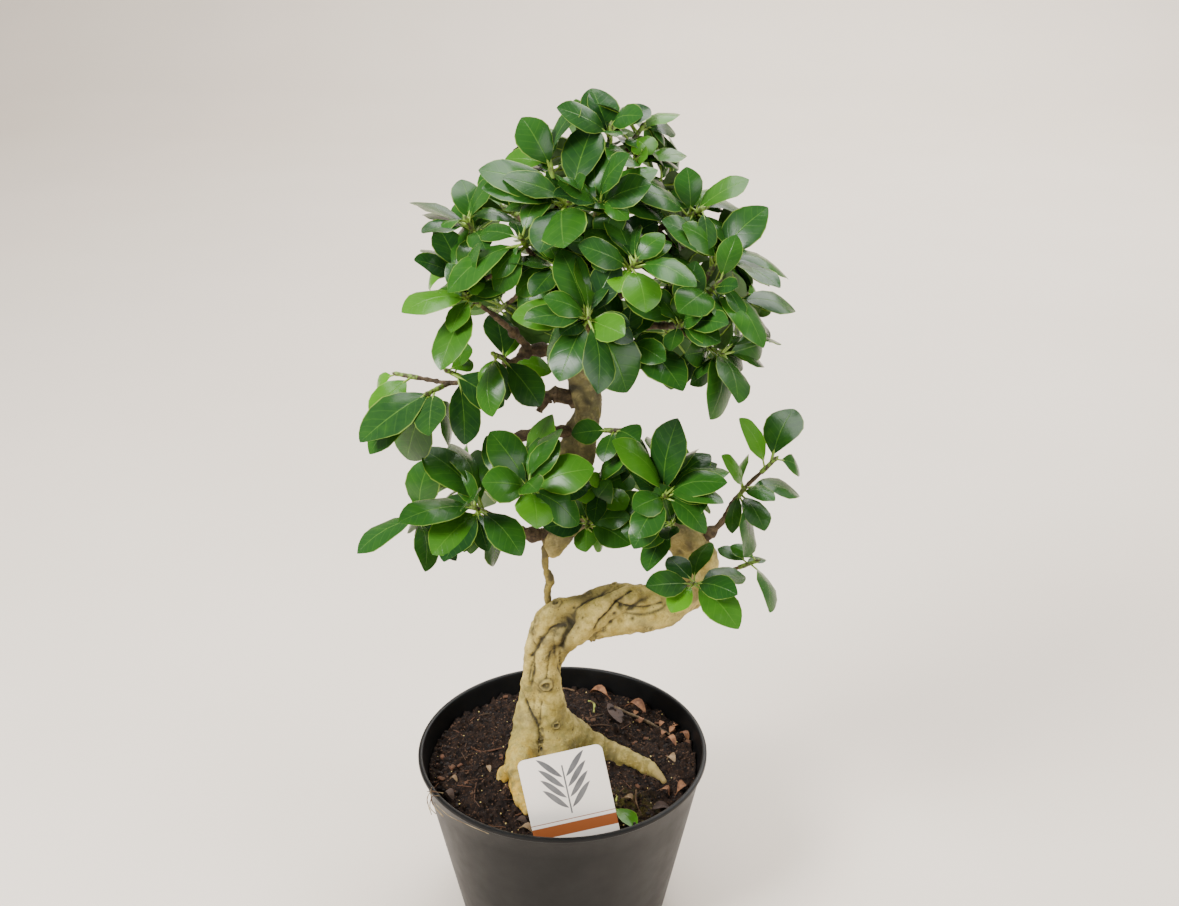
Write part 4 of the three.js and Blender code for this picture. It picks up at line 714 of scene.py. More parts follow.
class Finish:
    """A material under construction: its node tree, with short ways to add to it."""

    def __init__(self, name, **constants):
        self.material = bpy.data.materials.new(name)
        self.material.use_nodes = True
        self.tree = self.material.node_tree
        self.tree.nodes.clear()
        self.shader = self.tree.nodes.new("ShaderNodeBsdfPrincipled")
        output = self.tree.nodes.new("ShaderNodeOutputMaterial")
        self.tree.links.new(self.shader.outputs[0], output.inputs["Surface"])
        self.places = self.add("ShaderNodeTexCoord", output="Object")
        self.set(**constants)

    def add(self, kind, settings=None, sockets=None, output=0):
        """Adds a node of this kind: its settings first, then the values or links of its sockets."""
        node = self.tree.nodes.new(kind)
        for key, value in (settings or {}).items():
            setattr(node, key, value)
        for key, value in (sockets or {}).items():
            self.plug(node.inputs[key], value)
        return Value(self, node.outputs[output])

    def plug(self, socket, value):
        if isinstance(value, Value):
            self.tree.links.new(value.socket, socket)
        elif socket.type == "RGBA":
            socket.default_value = (*value[:3], 1)
        else:
            socket.default_value = value

    def set(self, **values):
        """Sets the shader's sockets, with their names' spaces written as underscores."""
        for key, value in values.items():
            self.plug(self.shader.inputs[key.replace("_", " ")], value)

    def noise(self, size, detail=2.0, stretch=(1, 1, 1)):
        """Noise from 0 to 1 whose lumps are about `size` millimetres across."""
        scale = [1 / (size * MM * s) for s in stretch]
        where = self.add("ShaderNodeMapping", {}, {"Vector": self.places, "Scale": scale})
        sockets = {"Vector": where, "Scale": 1.0, "Detail": detail}
        return self.add("ShaderNodeTexNoise", {}, sockets)

    def cells(self, size):
        """The distance to the nearest of points spread about `size` millimetres apart."""
        sockets = {"Vector": self.places, "Scale": 1 / (size * MM)}
        return self.add("ShaderNodeTexVoronoi", {"feature": "F1"}, sockets)

    def layer(self, name):
        """A number stored on the mesh."""
        return self.add("ShaderNodeAttribute", {"attribute_name": name}, output="Fac")

    def height(self):
        """How high a point is above the origin, in millimetres."""
        return self.add("ShaderNodeSeparateXYZ", {}, {0: self.places}, output="Z") * 1000.0

    def across(self):
        """How far a point is to the right of the origin, in millimetres."""
        return self.add("ShaderNodeSeparateXYZ", {}, {0: self.places}, output="X") * 1000.0

    def distance_to(self, x, y, z):
        """How far a point is from this one, in millimetres."""
        where = {"Vector": self.places, "Location": (-x * MM, -y * MM, -z * MM)}
        sockets = {0: self.add("ShaderNodeMapping", {}, where)}
        settings = {"operation": "LENGTH"}
        return self.add("ShaderNodeVectorMath", settings, sockets, output="Value") * 1000.0

    def chart(self):
        """How far across and how far up a point is on the UV map, from 0 to 1."""
        chart = self.add("ShaderNodeTexCoord", output="UV")
        return [self.add("ShaderNodeSeparateXYZ", {}, {0: chart}, output=axis) for axis in "XY"]

    def mix(self, share, first, second):
        """The first colour turning into the second as the share goes from 0 to 1."""
        settings = {"data_type": "RGBA", "clamp_factor": True}
        return self.add("ShaderNodeMix", settings, {0: share, 6: first, 7: second}, output=2)

    def raise_by(self, height, distance, strength):
        """Bump from a height of 0 to 1 that stands for this many millimetres."""
        sockets = {"Height": height, "Distance": distance * MM, "Strength": strength}
        self.set(Normal=self.add("ShaderNodeBump", {}, sockets))
        return self.material


def length(name, value, description):
    """A length that a user may change, in millimetres."""
    return FloatProperty(name=name, default=value, min=0.0, description=description + ", in mm")


def tint(name, value):
    """A colour that a user may change."""
    return FloatVectorProperty(
        name=name, default=value, min=0.0, max=1.0, size=3, subtype="COLOR",
        description="Colour of this part: " + name.lower())


def count(name, value, most, description):
    """How many there are of something, which a user may change."""
    return IntProperty(name=name, default=value, min=0, max=most, description=description)


def power(name, value, place):
    """The power of a light, which a user may change."""
    return FloatProperty(
        name=name, default=value, min=0.0, subtype="POWER", description="Power of the light " + place)


class PotSizes(PropertyGroup):
    """Sizes of the pot."""

    wall: length("Wall", 2.0, "Thickness of the pot's wall")
    lip_depth: length("Lip depth", 3.6, "How far the rolled lip comes down the wall")
    hole_radius: length("Hole radius", 5.0, "Radius of each drain hole")
    holes: IntProperty(name="Holes", default=6, min=3, max=12, description="Drain holes")


class PeatSizes(PropertyGroup):
    """Sizes of the peat and of what is strewn over it."""

    grid: IntProperty(name="Grid", default=220, min=60, max=280,
        description="How many steps the surface is divided into each way")
    lumps: length("Lumps", 4.2, "Height of the lumps")
    grains: length("Grains", 1.0, "Height of the grains")
    brown_crumbs: count("Brown crumbs", 1100, 2500, "How many brown crumbs lie on the peat")
    dark_crumbs: count("Dark crumbs", 700, 2500, "How many dark crumbs lie on the peat")
    pale_crumbs: count("Pale crumbs", 130, 500, "How many pale mineral crumbs lie on the peat")
    chips: count("Bark chips", 70, 500, "How many chips of bark lie on the peat")
    fibres: count("Fibres", 70, 500, "How many reddish and how many brown fibres lie on the peat")


class WoodSizes(PropertyGroup):
    """Sizes of the trunk's and the branches' surface."""

    voxel: FloatProperty(name="Trunk voxel", default=1.05, min=0.6, max=3.0,
        description="Grain of the trunk's skin, in mm")
    roughness: FloatProperty(name="Knottiness", default=0.35, min=0.0, max=1.0,
        description="How unevenly thick the branches and twigs are")
    strand_fusion: length("Strand fusion", 3.0, "How near strands of the trunk grow together")
    root_fusion: length("Root fusion", 10.0, "How near the roots blend with the trunk")
    nubs: count("Nubs", 110, 400, "How many small bumps and pits are strewn over the bark")


class LeafSizes(PropertyGroup):
    """Sizes of the leaves."""

    blade: length("Blade", LEAF_THICKNESS, "Thickness of a leaf's blade")
    fillers: count("Small leaves", 5, 12, "How many smaller leaves thicken each shoot")
    arch: FloatProperty(name="Arch", default=0.11, min=0.0, max=0.3,
        description="How far a leaf arches, as a share of its length")
    fold: FloatProperty(name="Fold", default=0.34, min=0.0, max=1.0,
        description="How steeply the halves of a leaf rise from its midrib")
    curl: FloatProperty(name="Curl", default=0.36, min=0.0, max=1.0,
        description="How far the halves of a leaf bend down again towards its rim")


class CardSizes(PropertyGroup):
    """Sizes of the plant label."""

    width: length("Width", 60.8, "Width of the card")
    height: length("Height", 71.0, "Height of the card")
    corner: length("Corner", 5.0, "Radius of the card's corners")
    board: length("Board", 0.78, "Thickness of the card")


class Colours(PropertyGroup):
    """Colours of the tree, the peat, the pot, the label and the floor."""

    leaf_deep: tint("Old leaf, darker", (0.011, 0.045, 0.011))
    leaf_middle: tint("Old leaf, lighter", (0.02, 0.09, 0.009))
    leaf_young: tint("Youngest leaf", (0.085, 0.27, 0.01))
    leaf_vein: tint("Leaf, midrib and side veins", (0.12, 0.28, 0.03))
    # The pale green of the thin rim on every leaf, which is painted rim light; the stalks use it for
    # their paler patches
    pale_green_and_rim_light: tint("Leaf, thin pale rim", (0.34, 0.5, 0.07))
    leaf_under: tint("Leaf, underside", (0.035, 0.11, 0.012))
    leaf_under_pale: tint("Leaf, underside, paler patches", (0.07, 0.17, 0.025))
    stalk: tint("Leaf stalks and young shoots", (0.2, 0.34, 0.035))
    twig: tint("Twigs", (0.045, 0.027, 0.012))
    twig_pale: tint("Twigs, paler patches", (0.15, 0.1, 0.05))
    bark: tint("Bark", (0.41, 0.3, 0.056))
    bark_pale: tint("Bark, paler patches", (0.7, 0.55, 0.155))
    # Painted highlight on the bark's ridges
    bark_ridge_highlight: tint("Bark, where it stands out", (0.72, 0.57, 0.2))
    bark_upper: tint("Bark, greyer upper trunk", (0.11, 0.098, 0.048))
    bark_moss: tint("Bark, green film", (0.155, 0.135, 0.02))
    bark_root: tint("Bark, yellower roots", (0.84, 0.48, 0.04))
    bark_film: tint("Bark, olive right root", (0.22, 0.15, 0.015))
    bark_tip: tint("Bark, brown root tip", (0.13, 0.06, 0.02))
    # Dark specks and rough places, and also painted shade in the bark's hollows and low on its right,
    # shadow side
    bark_dark_and_shade: tint("Bark, specks and rough places", (0.09, 0.07, 0.025))
    # Painted shade in the creases, cracks and scars of the trunk; the twigs use the same colour for
    # their dark flecks
    bark_crease_shade_and_flecks: tint("Bark, creases and cracks", (0.032, 0.025, 0.008))
    # Painted shade in the hollows of the peat; the dark crumbs also use this colour
    peat_hollow_shade_and_dark_crumbs: tint("Peat, hollows", (0.005, 0.003, 0.0025))
    peat: tint("Peat", (0.02, 0.011, 0.007))
    peat_light: tint("Peat, brown grains", (0.07, 0.034, 0.017))
    peat_moss: tint("Peat, olive film", (0.09, 0.075, 0.015))
    crumb_brown: tint("Brown crumbs", (0.075, 0.036, 0.016))
    crumb_red: tint("Reddish chips and roots", (0.1, 0.038, 0.016))
    crumb_pale: tint("Pale mineral crumbs", (0.55, 0.42, 0.2))
    pot: tint("Pot", (0.003, 0.003, 0.0032))
    pot_dust: tint("Pot, dust and scuffs", (0.016, 0.0155, 0.015))
    dry_leaf: tint("Dry leaves", (0.11, 0.042, 0.018))
    dry_leaf_pale: tint("Dry leaves, paler patches", (0.27, 0.12, 0.05))
    dead_leaf: tint("Dead leaves, nearly black", (0.03, 0.016, 0.011))
    dead_leaf_pale: tint("Dead leaves, paler patches", (0.055, 0.03, 0.02))
    husk: tint("Husks on the peat", (0.17, 0.105, 0.05))
    husk_pale: tint("Husks, paler patches", (0.28, 0.19, 0.1))
    straw: tint("Dry stems on the rim", (0.36, 0.27, 0.14))
    sprout: tint("Pale green stems", (0.36, 0.42, 0.08))
    print_grey: tint("Card, sprig", (0.2, 0.2, 0.2))
    print_dark: tint("Card, sprig, darker patches", (0.05, 0.05, 0.055))
    print_band: tint("Card, band and hairline", (0.34, 0.1, 0.03))
    card: tint("Card", (0.98, 0.9, 0.8))
    floor: tint("Floor", (0.9, 0.8, 0.69))
    floor_shade: tint("Floor, darker patches", (0.84, 0.74, 0.63))


class StudioSizes(PropertyGroup):
    """The lights, the floor and the camera."""

    key: power("Key light", 66.0, "at the left")
    fill: power("Fill light", 18.0, "at the right")
    top: power("Top light", 22.0, "overhead")
    backdrop: power("Backdrop light", 130.0, "over the floor behind the tree")
    sky: FloatProperty(name="Sky", default=0.5, min=0.0, description="Strength of the even light")
    lens: FloatProperty(name="Lens", default=42.75, min=10.0,
        description="Focal length of the camera, in mm")
    tilt: FloatProperty(name="Tilt", default=math.radians(65.7), subtype="ANGLE",
        description="How far the camera is raised from looking straight down")


SETTINGS = {
    "bonsai_pot": PotSizes,
    "bonsai_peat": PeatSizes,
    "bonsai_wood": WoodSizes,
    "bonsai_leaves": LeafSizes,
    "bonsai_card": CardSizes,
    "bonsai_colours": Colours,
    "bonsai_studio": StudioSizes,
}


def leaf_finish(colours):
    """The glossy upper side of a leaf: midrib, side veins and a thin pale rim of painted rim light, by
    its UV map.
    """
    finish = Finish("leaf_upper", Specular_IOR_Level=0.2)
    across, along_leaf = finish.chart()
    aside = abs(across - 0.5) * 2.0
    midrib = 1.0 - aside.step(0.012, 0.06 - 0.03 * along_leaf)
    turn = (along_leaf * 10.0 - aside * 1.7) * (2 * math.pi)
    veins = turn.maths("SINE", turn).step(0.86, 1.0) * (1.0 - aside.step(0.7, 0.95))
    # Painted rim light: a thin pale band along the leaf's edge
    rim = aside.step(0.93, 0.985)
    blotches = finish.noise(9, 2.0)
    youth = (finish.layer("youth") + (blotches - 0.5) * 0.35).clamped()
    shade = finish.mix(finish.layer("luck"), colours.leaf_deep, colours.leaf_middle)
    green = finish.mix(youth, shade, colours.leaf_young)
    green = finish.mix(veins * 0.09, green, colours.leaf_vein)
    green = finish.mix(midrib * (0.5 - 0.3 * along_leaf), green, colours.leaf_vein)
    # The painted rim light is laid on here
    green = finish.mix(rim * (0.25 + 0.4 * blotches), green, colours.pale_green_and_rim_light)
    finish.set(Base_Color=green, Roughness=0.17 + 0.14 * finish.noise(5, 2.0))
    relief = finish.noise(6, 1.0) * 0.6 - midrib * 0.8 - veins * 0.15
    return finish.raise_by(relief, 0.3, 0.45)


def leaf_under_finish(colours):
    """The paler matt underside of a leaf."""
    finish = Finish("leaf_under", Roughness=0.55)
    green = finish.mix(finish.noise(5, 2.0), colours.leaf_under, colours.leaf_under_pale)
    green = finish.mix(finish.layer("youth") * 0.6, green, colours.leaf_young)
    finish.set(Base_Color=green)
    return finish.raise_by(finish.noise(1.2, 2.0), 0.15, 0.3)


def stalk_finish(colours):
    """A leaf's pale green stalk and the midrib under the blade."""
    finish = Finish("leaf_stalk", Roughness=0.45)
    # The paler patches use the pale green of the leaves' painted rim light
    green = finish.mix(finish.noise(4), colours.stalk, colours.pale_green_and_rim_light)
    finish.set(Base_Color=green)
    return finish.raise_by(finish.noise(0.8), 0.1, 0.4)


def leaf_finishes(colours):
    """The materials of a green leaf: its upper side, its underside and its stalk."""
    return [leaf_finish(colours), leaf_under_finish(colours), stalk_finish(colours)]


def shoot_finish(colours):
    """A young shoot: green bark, browned in patches."""
    finish = Finish("shoot_bark", Roughness=0.6)
    brown = finish.mix(finish.noise(3, 3.0).step(0.35, 0.65), colours.twig, colours.stalk)
    finish.set(Base_Color=brown)
    return finish.raise_by(finish.noise(1.0, 3.0), 0.3, 0.5)


def bark_finish(colours):
    """Smooth pale bark: khaki with a green film low down, greyer above, with painted shade in its
    creases, cracks and hollows and low on its right side, and a painted highlight on its ridges.
    """
    finish = Finish("bark", Roughness=0.78)
    height = finish.height()
    broad = finish.noise(26, 2.0)
    patches = finish.noise(7, 4.0)
    grain = finish.noise(1.3, 3.0)
    base = finish.mix(patches.step(0.3, 0.7), colours.bark, colours.bark_pale)
    upper = (height + (broad - 0.5) * 60.0).step(280.0, 335.0)
    base = finish.mix(upper * 0.9, base, colours.bark_upper)
    low = 1.0 - (height + (patches - 0.5) * 70.0).step(125.0, 215.0)
    right = (finish.across() + (patches - 0.5) * 20.0).step(-30.0, 20.0)
    base = finish.mix(low * (0.32 + 0.5 * right), base, colours.bark_moss)
    root = 1.0 - (height + (patches - 0.5) * 26.0).step(126.0, 165.0)
    base = finish.mix(root * (0.85 - 0.8 * right), base, colours.bark_root)
    base = finish.mix(root * right * 0.65, base, colours.bark_film)
    film = (broad.step(0.46, 0.66) + low * 0.6).clamped() * patches.step(0.4, 0.62)
    base = finish.mix(film * 0.7, base, colours.bark_moss)
    # Painted shade: the bark darker low down towards the right, its shadow side
    base = finish.mix(low * (0.03 + 0.2 * right), base, colours.bark_dark_and_shade)
    stains = finish.noise(15, 5.0).step(0.5, 0.66)
    base = finish.mix(stains * (0.5 + 0.3 * upper), base, colours.bark_dark_and_shade)
    tip = finish.distance_to(*RIGHT_ROOT_TIP)
    brown = 1.0 - (tip + (patches - 0.5) * 14.0).step(10.0, 30.0)
    base = finish.mix(brown * 0.8, base, colours.bark_tip)
    specks = (1.0 - finish.cells(3.6).step(0.1, 0.22)) * finish.noise(11).step(0.42, 0.58)
    base = finish.mix(specks * 0.7, base, colours.bark_dark_and_shade)
    base = finish.mix(grain.step(0.42, 0.66) * 0.22, base, colours.bark_dark_and_shade)
    # Painted highlight on the ridges and painted shade in the hollows, by how far each point lies under
    # the smoothed surface
    hollow = finish.layer("hollow") + (grain - 0.5) * 0.25
    base = finish.mix((1.0 - hollow.step(0.2, 0.46)) * 0.22, base, colours.bark_ridge_highlight)
    base = finish.mix(hollow.step(0.54, 0.92) * 0.72, base, colours.bark_dark_and_shade)
    base = finish.mix(finish.layer("rough") * patches.step(0.35, 0.6), base, colours.bark_dark_and_shade)
    # Painted shade in the creases, cracks and scars
    base = finish.mix((finish.layer("crease") * 1.25).clamped() * 0.92, base, colours.bark_crease_shade_and_flecks)
    finish.set(Base_Color=base)
    relief = grain * 0.45 + patches * 0.9 + finish.noise(3.2, 2.0) * 0.5
    return finish.raise_by(relief, 0.9, 0.75)


def twig_finish(colours):
    """Dark rough bark of the branches in the crown."""
    finish = Finish("twig_bark", Roughness=0.85)
    patches = finish.noise(5, 4.0)
    brown = finish.mix(patches.step(0.35, 0.7), colours.twig, colours.twig_pale)
    # Dark flecks, in the colour that the trunk uses for its painted crease shade
    brown = finish.mix(finish.noise(1.4, 2.0).step(0.5, 0.7) * 0.6, brown, colours.bark_crease_shade_and_flecks)
    finish.set(Base_Color=brown)
    return finish.raise_by(patches + finish.noise(1.2, 3.0) * 0.5, 1.2, 0.9)


def peat_finish(colours):
    """Damp dark peat with painted shade in its hollows, brown fibres and an olive film near the front.
    """
    finish = Finish("peat", Roughness=0.95, Specular_IOR_Level=0.25)
    lumps = finish.noise(6, 5.0)
    grains = finish.noise(1.6, 3.0)
    # Painted shade: the peat darkest in the hollows of its bump
    brown = finish.mix(lumps.step(0.35, 0.68), colours.peat_hollow_shade_and_dark_crumbs, colours.peat)
    brown = finish.mix(grains.step(0.52, 0.72) * 0.7, brown, colours.peat_light)
    reach = finish.distance_to(*MOSSY_SPOT)
    film = (1.0 - reach.step(12.0, 34.0)) * finish.noise(5, 3.0).step(0.4, 0.62)
    brown = finish.mix(film * 0.75, brown, colours.peat_moss)
    finish.set(Base_Color=brown)
    return finish.raise_by(lumps + grains * 0.6, 1.6, 1.0)


def crumb_finish(name, colour, other):
    """Loose crumbs of one kind, each patch a little different."""
    finish = Finish(name, Roughness=0.9)
    finish.set(Base_Color=finish.mix(finish.noise(7, 2.0).step(0.3, 0.7), colour, other))
    return finish.raise_by(finish.noise(0.9, 3.0), 0.5, 0.8)


def pot_finish(colours):
    """Satin moulded plastic, a little scuffed and dusty."""
    finish = Finish("pot_plastic", Roughness=0.42, Specular_IOR_Level=0.24)
    dust = finish.noise(30, 5.0).step(0.45, 0.75)
    scuffs = finish.noise(4, 4.0, (1, 1, 6)).step(0.62, 0.75)
    black = finish.mix(dust * 0.35, colours.pot, colours.pot_dust)
    black = finish.mix(scuffs * 0.18, black, colours.pot_dust)
    finish.set(Base_Color=black, Roughness=0.36 + 0.16 * finish.noise(12, 3.0))
    return finish.raise_by(finish.noise(1.1, 2.0), 0.12, 0.25)


def dry_leaf_finish(colours, tone="dry_leaf"):
    """A dead leaf of this colour, in patches paler, matt and creased."""
    finish = Finish(tone, Roughness=0.75)
    patches = finish.noise(5, 3.0).step(0.3, 0.7)
    pale = getattr(colours, tone + "_pale")
    finish.set(Base_Color=finish.mix(patches, getattr(colours, tone), pale))
    return finish.raise_by(finish.noise(2.4, 3.0), 0.8, 0.8)


def card_finish(colours):
    """Coated card with a plain band, a hairline above it and a sprig of drop-shaped leaves."""
    finish = Finish("label_print", Roughness=0.32, Coat_Weight=0.3, Coat_Roughness=0.1)
    across, up = finish.chart()
    side = abs(across - 0.5)
    stem = (1.0 - side.step(0.006, 0.012)) * up.step(0.34, 0.35) * (1.0 - up.step(0.86, 0.87))
    slope = up - side * 0.9
    rows = slope.step(0.333, 0.334) * (1.0 - slope.step(0.777, 0.778))
    beat = (slope * 9.0).maths("FRACT", slope * 9.0)
    taper = 1.0 - ((side - 0.15) * 7.4).maths("POWER", abs(side - 0.15) * 7.4, 2.0)
    drop = (taper.clamped() * 0.42 - abs(beat - 0.5)).step(0.0, 0.05) * rows
    band = up.step(0.13, 0.135) * (1.0 - up.step(0.25, 0.255))
    hairline = up.step(0.285, 0.288) * (1.0 - up.step(0.293, 0.296))
    shade = finish.mix(finish.noise(8, 2.0), colours.print_grey, colours.print_dark)
    card = finish.mix((drop + stem).clamped(), colours.card, shade)
    card = finish.mix((band + hairline).clamped(), card, colours.print_band)
    finish.set(Base_Color=card)
    return finish.raise_by(finish.noise(2, 1.0), 0.05, 0.15)


def floor_finish(colours):
    """The plain pale floor."""
    finish = Finish("pale_floor", Roughness=0.85)
    shade = finish.mix(finish.noise(300, 2.0), colours.floor, colours.floor_shade)
    finish.set(Base_Color=shade)
    return finish.material


def turned(name, profile):
    """A turned body: a disc extruded and resized ring by ring up its profile of (radius, height)."""
    deselect()
    (radius, height), *others = [(r * MM, z * MM) for r, z in profile]
    bpy.ops.mesh.primitive_circle_add(
        vertices=POT_SIDES, radius=radius, fill_type="NGON", location=(0, 0, height))
    bpy.ops.object.mode_set(mode="EDIT")
    for wider, higher in others:
        rise = {"value": (0, 0, higher - height)}
        bpy.ops.mesh.extrude_region_move(TRANSFORM_OT_translate=rise)
        growth = wider / radius
        bpy.ops.transform.resize(value=(growth, growth, 1), center_override=(0, 0, higher))
        radius, height = wider, higher
    bpy.ops.mesh.select_all(action="SELECT")
    bpy.ops.mesh.normals_make_consistent(inside=False)
    bpy.ops.object.mode_set(mode="OBJECT")
    bpy.ops.object.transform_apply(location=True, rotation=True, scale=True)
    return named(name)


def wall_radius(height):
    """The outer radius of the pot's wall at this height."""
    return POT_BASE_RADIUS + (POT_TOP_RADIUS - POT_BASE_RADIUS) * height / POT_HEIGHT


def make_pot(sizes, material):
    """The pot, with a foot ring under it, a rolled lip and its drain holes."""
    shoulder, wall = POT_HEIGHT - sizes.lip_depth, sizes.wall
    foot = [(70, 1.4), (73, 1.2), (74, 0.2), (75, 0), (79, 0), (80.2, 0.5)]
    outside = [(wall_radius(height), height) for height in (1.6, 40, 80, 118, shoulder - 1)]
    lip = [
        (wall_radius(shoulder) + 0.5, shoulder), (109.4, shoulder + 0.4), (110, shoulder + 1.2),
        (110, POT_HEIGHT - 1.6), (109.6, POT_HEIGHT - 0.5), (108.6, POT_HEIGHT),
        (107.2, POT_HEIGHT), (106.6, POT_HEIGHT - 0.4), (106.3, POT_HEIGHT - 1.2),
    ]
    inside = [(wall_radius(height) - wall, height) for height in (shoulder - 1, 100, 5)]
    floor = [(wall_radius(3) - wall - 2, 3)]
    pot = turned("pot_shell", foot + outside + lip + inside + floor)
    for i in range(sizes.holes):
        angle = (i + 0.5) / sizes.holes * 2 * math.pi
        reach = HOLE_CIRCLE_RADIUS * MM
        deselect()
        bpy.ops.mesh.primitive_cylinder_add(
            vertices=24, radius=sizes.hole_radius * MM, depth=0.02,
            location=(reach * math.cos(angle), reach * math.sin(angle), 0))
        punch = bpy.context.object
        modify(pot, "BOOLEAN", operation="DIFFERENCE", object=punch, solver="EXACT")
        bpy.data.objects.remove(punch)
    work_on(pot)
    bpy.ops.object.shade_smooth_by_angle(angle=math.radians(40))
    return finished(pot, "pot_plastic", "pot", materials=[material])


def soil_height(x, y):
    """The level of the peat, with its mound round the trunk and its low humps."""
    radius, angle = math.hypot(x, y), math.atan2(y, x)
    humps = 1.6 * math.sin(3 * angle + 1) * math.sin(radius / 14) + math.sin(5 * angle)
    mound = 3 * math.exp(-((radius / 42) ** 2))
    return PEAT_LEVEL + 0.6 * humps * min(1, radius / 30) + mound


def make_peat(sizes, material):
    """The peat: a grid drawn into a disc, raised in humps, lumps and grains, closed below."""
    deselect()
    fine = sizes.grid
    bpy.ops.mesh.primitive_grid_add(x_subdivisions=fine, y_subdivisions=fine, size=2)
    peat = named("peat_surface")
    edge = wall_radius(PEAT_EDGE_HEIGHT) - PEAT_EDGE_GAP
    grown = []
    for x, y, unused in coordinates(peat) * MM:
        across, away = x * math.sqrt(1 - y * y / 2) * edge, y * math.sqrt(1 - x * x / 2) * edge
        spot = Vector((across, away, 0))
        lumps = fractal(spot * 0.11, 0.6, 2.1, 4) * sizes.lumps
        grains = noise(spot * 0.55) * sizes.grains + noise(spot * 1.1) * sizes.grains * 0.6
        sunk = 0.7 * max(0.0, (spot.length - edge + 8) / 8)
        grown.append((across, away, soil_height(across, away) + lumps + grains - sunk))
    move_to(peat, grown)
    bpy.ops.object.mode_set(mode="EDIT")
    pick(lambda side: side.is_boundary, "edges")
    bpy.ops.mesh.extrude_region_move(TRANSFORM_OT_translate={"value": (0, 0, -0.1)})
    narrowing = (wall_radius(PEAT_FLOOR_HEIGHT) - PEAT_FLOOR_GAP) / edge
    bpy.ops.transform.resize(
        value=(narrowing, narrowing, 0), center_override=(0, 0, PEAT_FLOOR_HEIGHT * MM))
    bpy.ops.mesh.edge_face_add()
    bpy.ops.mesh.select_all(action="SELECT")
    bpy.ops.mesh.normals_make_consistent(inside=False)
    bpy.ops.object.mode_set(mode="OBJECT")
    bpy.ops.object.shade_smooth()
    return finished(peat, "peat", "soil", materials=[material])


def crumb_pattern(kind):
    """One crumb about a millimetre across: a lump, a flat chip or a thin fibre."""
    deselect()
    if kind == "lump":
        bpy.ops.mesh.primitive_ico_sphere_add(subdivisions=1, radius=0.5 * MM)
    else:
        bpy.ops.mesh.primitive_cube_add(size=MM)
    crumb = named("crumb_pattern")
    bpy.ops.object.mode_set(mode="EDIT")
    bpy.ops.transform.resize(value=CRUMB_SHAPES[kind])
    if kind != "lump":
        bpy.ops.mesh.bevel(offset=0.12 * MM, segments=1)
    if kind == "fibre":
        bpy.ops.mesh.subdivide(number_cuts=1)
    bpy.ops.object.mode_set(mode="OBJECT")
    moved = [spot + Vector((0, noise(spot * 0.6), noise(spot * 2.3))) * 0.16
        for spot in map(Vector, coordinates(crumb))]
    crumb.data.vertices.foreach_set("co", (np.array(moved) * MM).astype(np.float32).ravel())
    return crumb


def level(ground, x, y):
    """How high the peat is here, or would be beyond its edge."""
    hit = ground.ray_cast(Vector((x, y, OVERHEAD)) * MM, DOWN)[0]
    return hit.z / MM if hit else soil_height(x, y)


def scatter(name, kind, count, sizes, ground, material, chance):
    """Crumbs of one kind strewn over the peat: each a copy turned, sized and half sunk."""
    pattern = crumb_pattern(kind)
    pattern.data.materials.append(material)
    crumbs = []
    while len(crumbs) < count:
        reach = STREWN_RADIUS * math.sqrt(chance.random())
        angle = chance.uniform(0, 2 * math.pi)
        x, y = reach * math.cos(angle), reach * math.sin(angle)
        size = chance.uniform(*sizes)
        turn = Matrix.Rotation(chance.uniform(0, 6.3), 4, "Z")
        tilt = Matrix.Rotation(chance.uniform(-0.4, 0.4), 4, "X")
        crumb = copy_of(pattern)
        spot = Vector((x, y, level(ground, x, y) + 0.18 * size)) * MM
        crumb.data.transform(Matrix.Translation(spot) @ turn @ tilt @ Matrix.Scale(size, 4))
        crumbs.append(crumb)
    bpy.data.objects.remove(pattern)
    return finished(joined(crumbs, name), "peat")


def surface_of(piece):
    """A tree of the piece's faces, for casting rays at it."""
    return BVHTree.FromObject(piece, bpy.context.evaluated_depsgraph_get())


def strand_runs():
    """The strands of the trunk, and its core, as runs of points and radii."""
    middle = [place(row) for row in TRUNK]
    widths = [row[3] for row in TRUNK]
    runs = {}
    for name, rows in STRANDS.items():
        spots, angles, offsets, shares = zip(*rows)
        run = []
        for spot in np.arange(spots[0], spots[-1] + 0.001, 0.1):
            centre = Vector(along(middle, spot))
            way = Vector(along(middle, spot + 0.05)) - Vector(along(middle, spot - 0.05))
            way.normalize()
            front = square_to(Vector((0, -1, 0)), way)
            inner = way.cross(front)
            radius = float(along(widths, spot))
            angle = math.radians(np.interp(spot, spots, angles))
            out = inner * math.cos(angle) + front * math.sin(angle)
            centre += out * radius * np.interp(spot, spots, offsets)
            run.append((centre, radius * np.interp(spot, spots, shares)))
        runs[name] = run
    return runs


def gap_to(points, run):
    """How far each point is from the surface of a round run of wood."""
    gap = np.full(len(points), np.inf)
    for spot, radius in run:
        gap = np.minimum(gap, np.linalg.norm(points - np.array(spot), axis=1) - radius)
    return gap


def shown_on(ground, across, up):
    """Where the sight line through [across, up] first meets the surface, in millimetres."""
    sight = (place((across, up, 0)) - EYE).normalized()
    hit = ground.ray_cast(EYE * MM, sight)[0]
    return hit / MM if hit else None


def fused(first, second, reach):
    """The two distances as one, rounded off where both are within `reach` of each other."""
    nearness = np.clip(1 - np.abs(first - second) / reach, 0, 1)
    return np.minimum(first, second) - nearness**2 * reach / 4


def gaps_sorted(points, runs):
    """For each point its distances from the runs, the nearest first."""
    return np.sort(np.array([gap_to(points, run) for run in runs]), axis=0)


def hollows(piece):
    """How far each vertex lies under the smoothed surface, in millimetres."""
    smooth = copy_of(piece)
    modify(smooth, "SMOOTH", factor=0.5, iterations=30)
    sunk = coordinates(smooth) - coordinates(piece)
    bpy.data.objects.remove(smooth)
    return (sunk * normals(piece)).sum(axis=1)


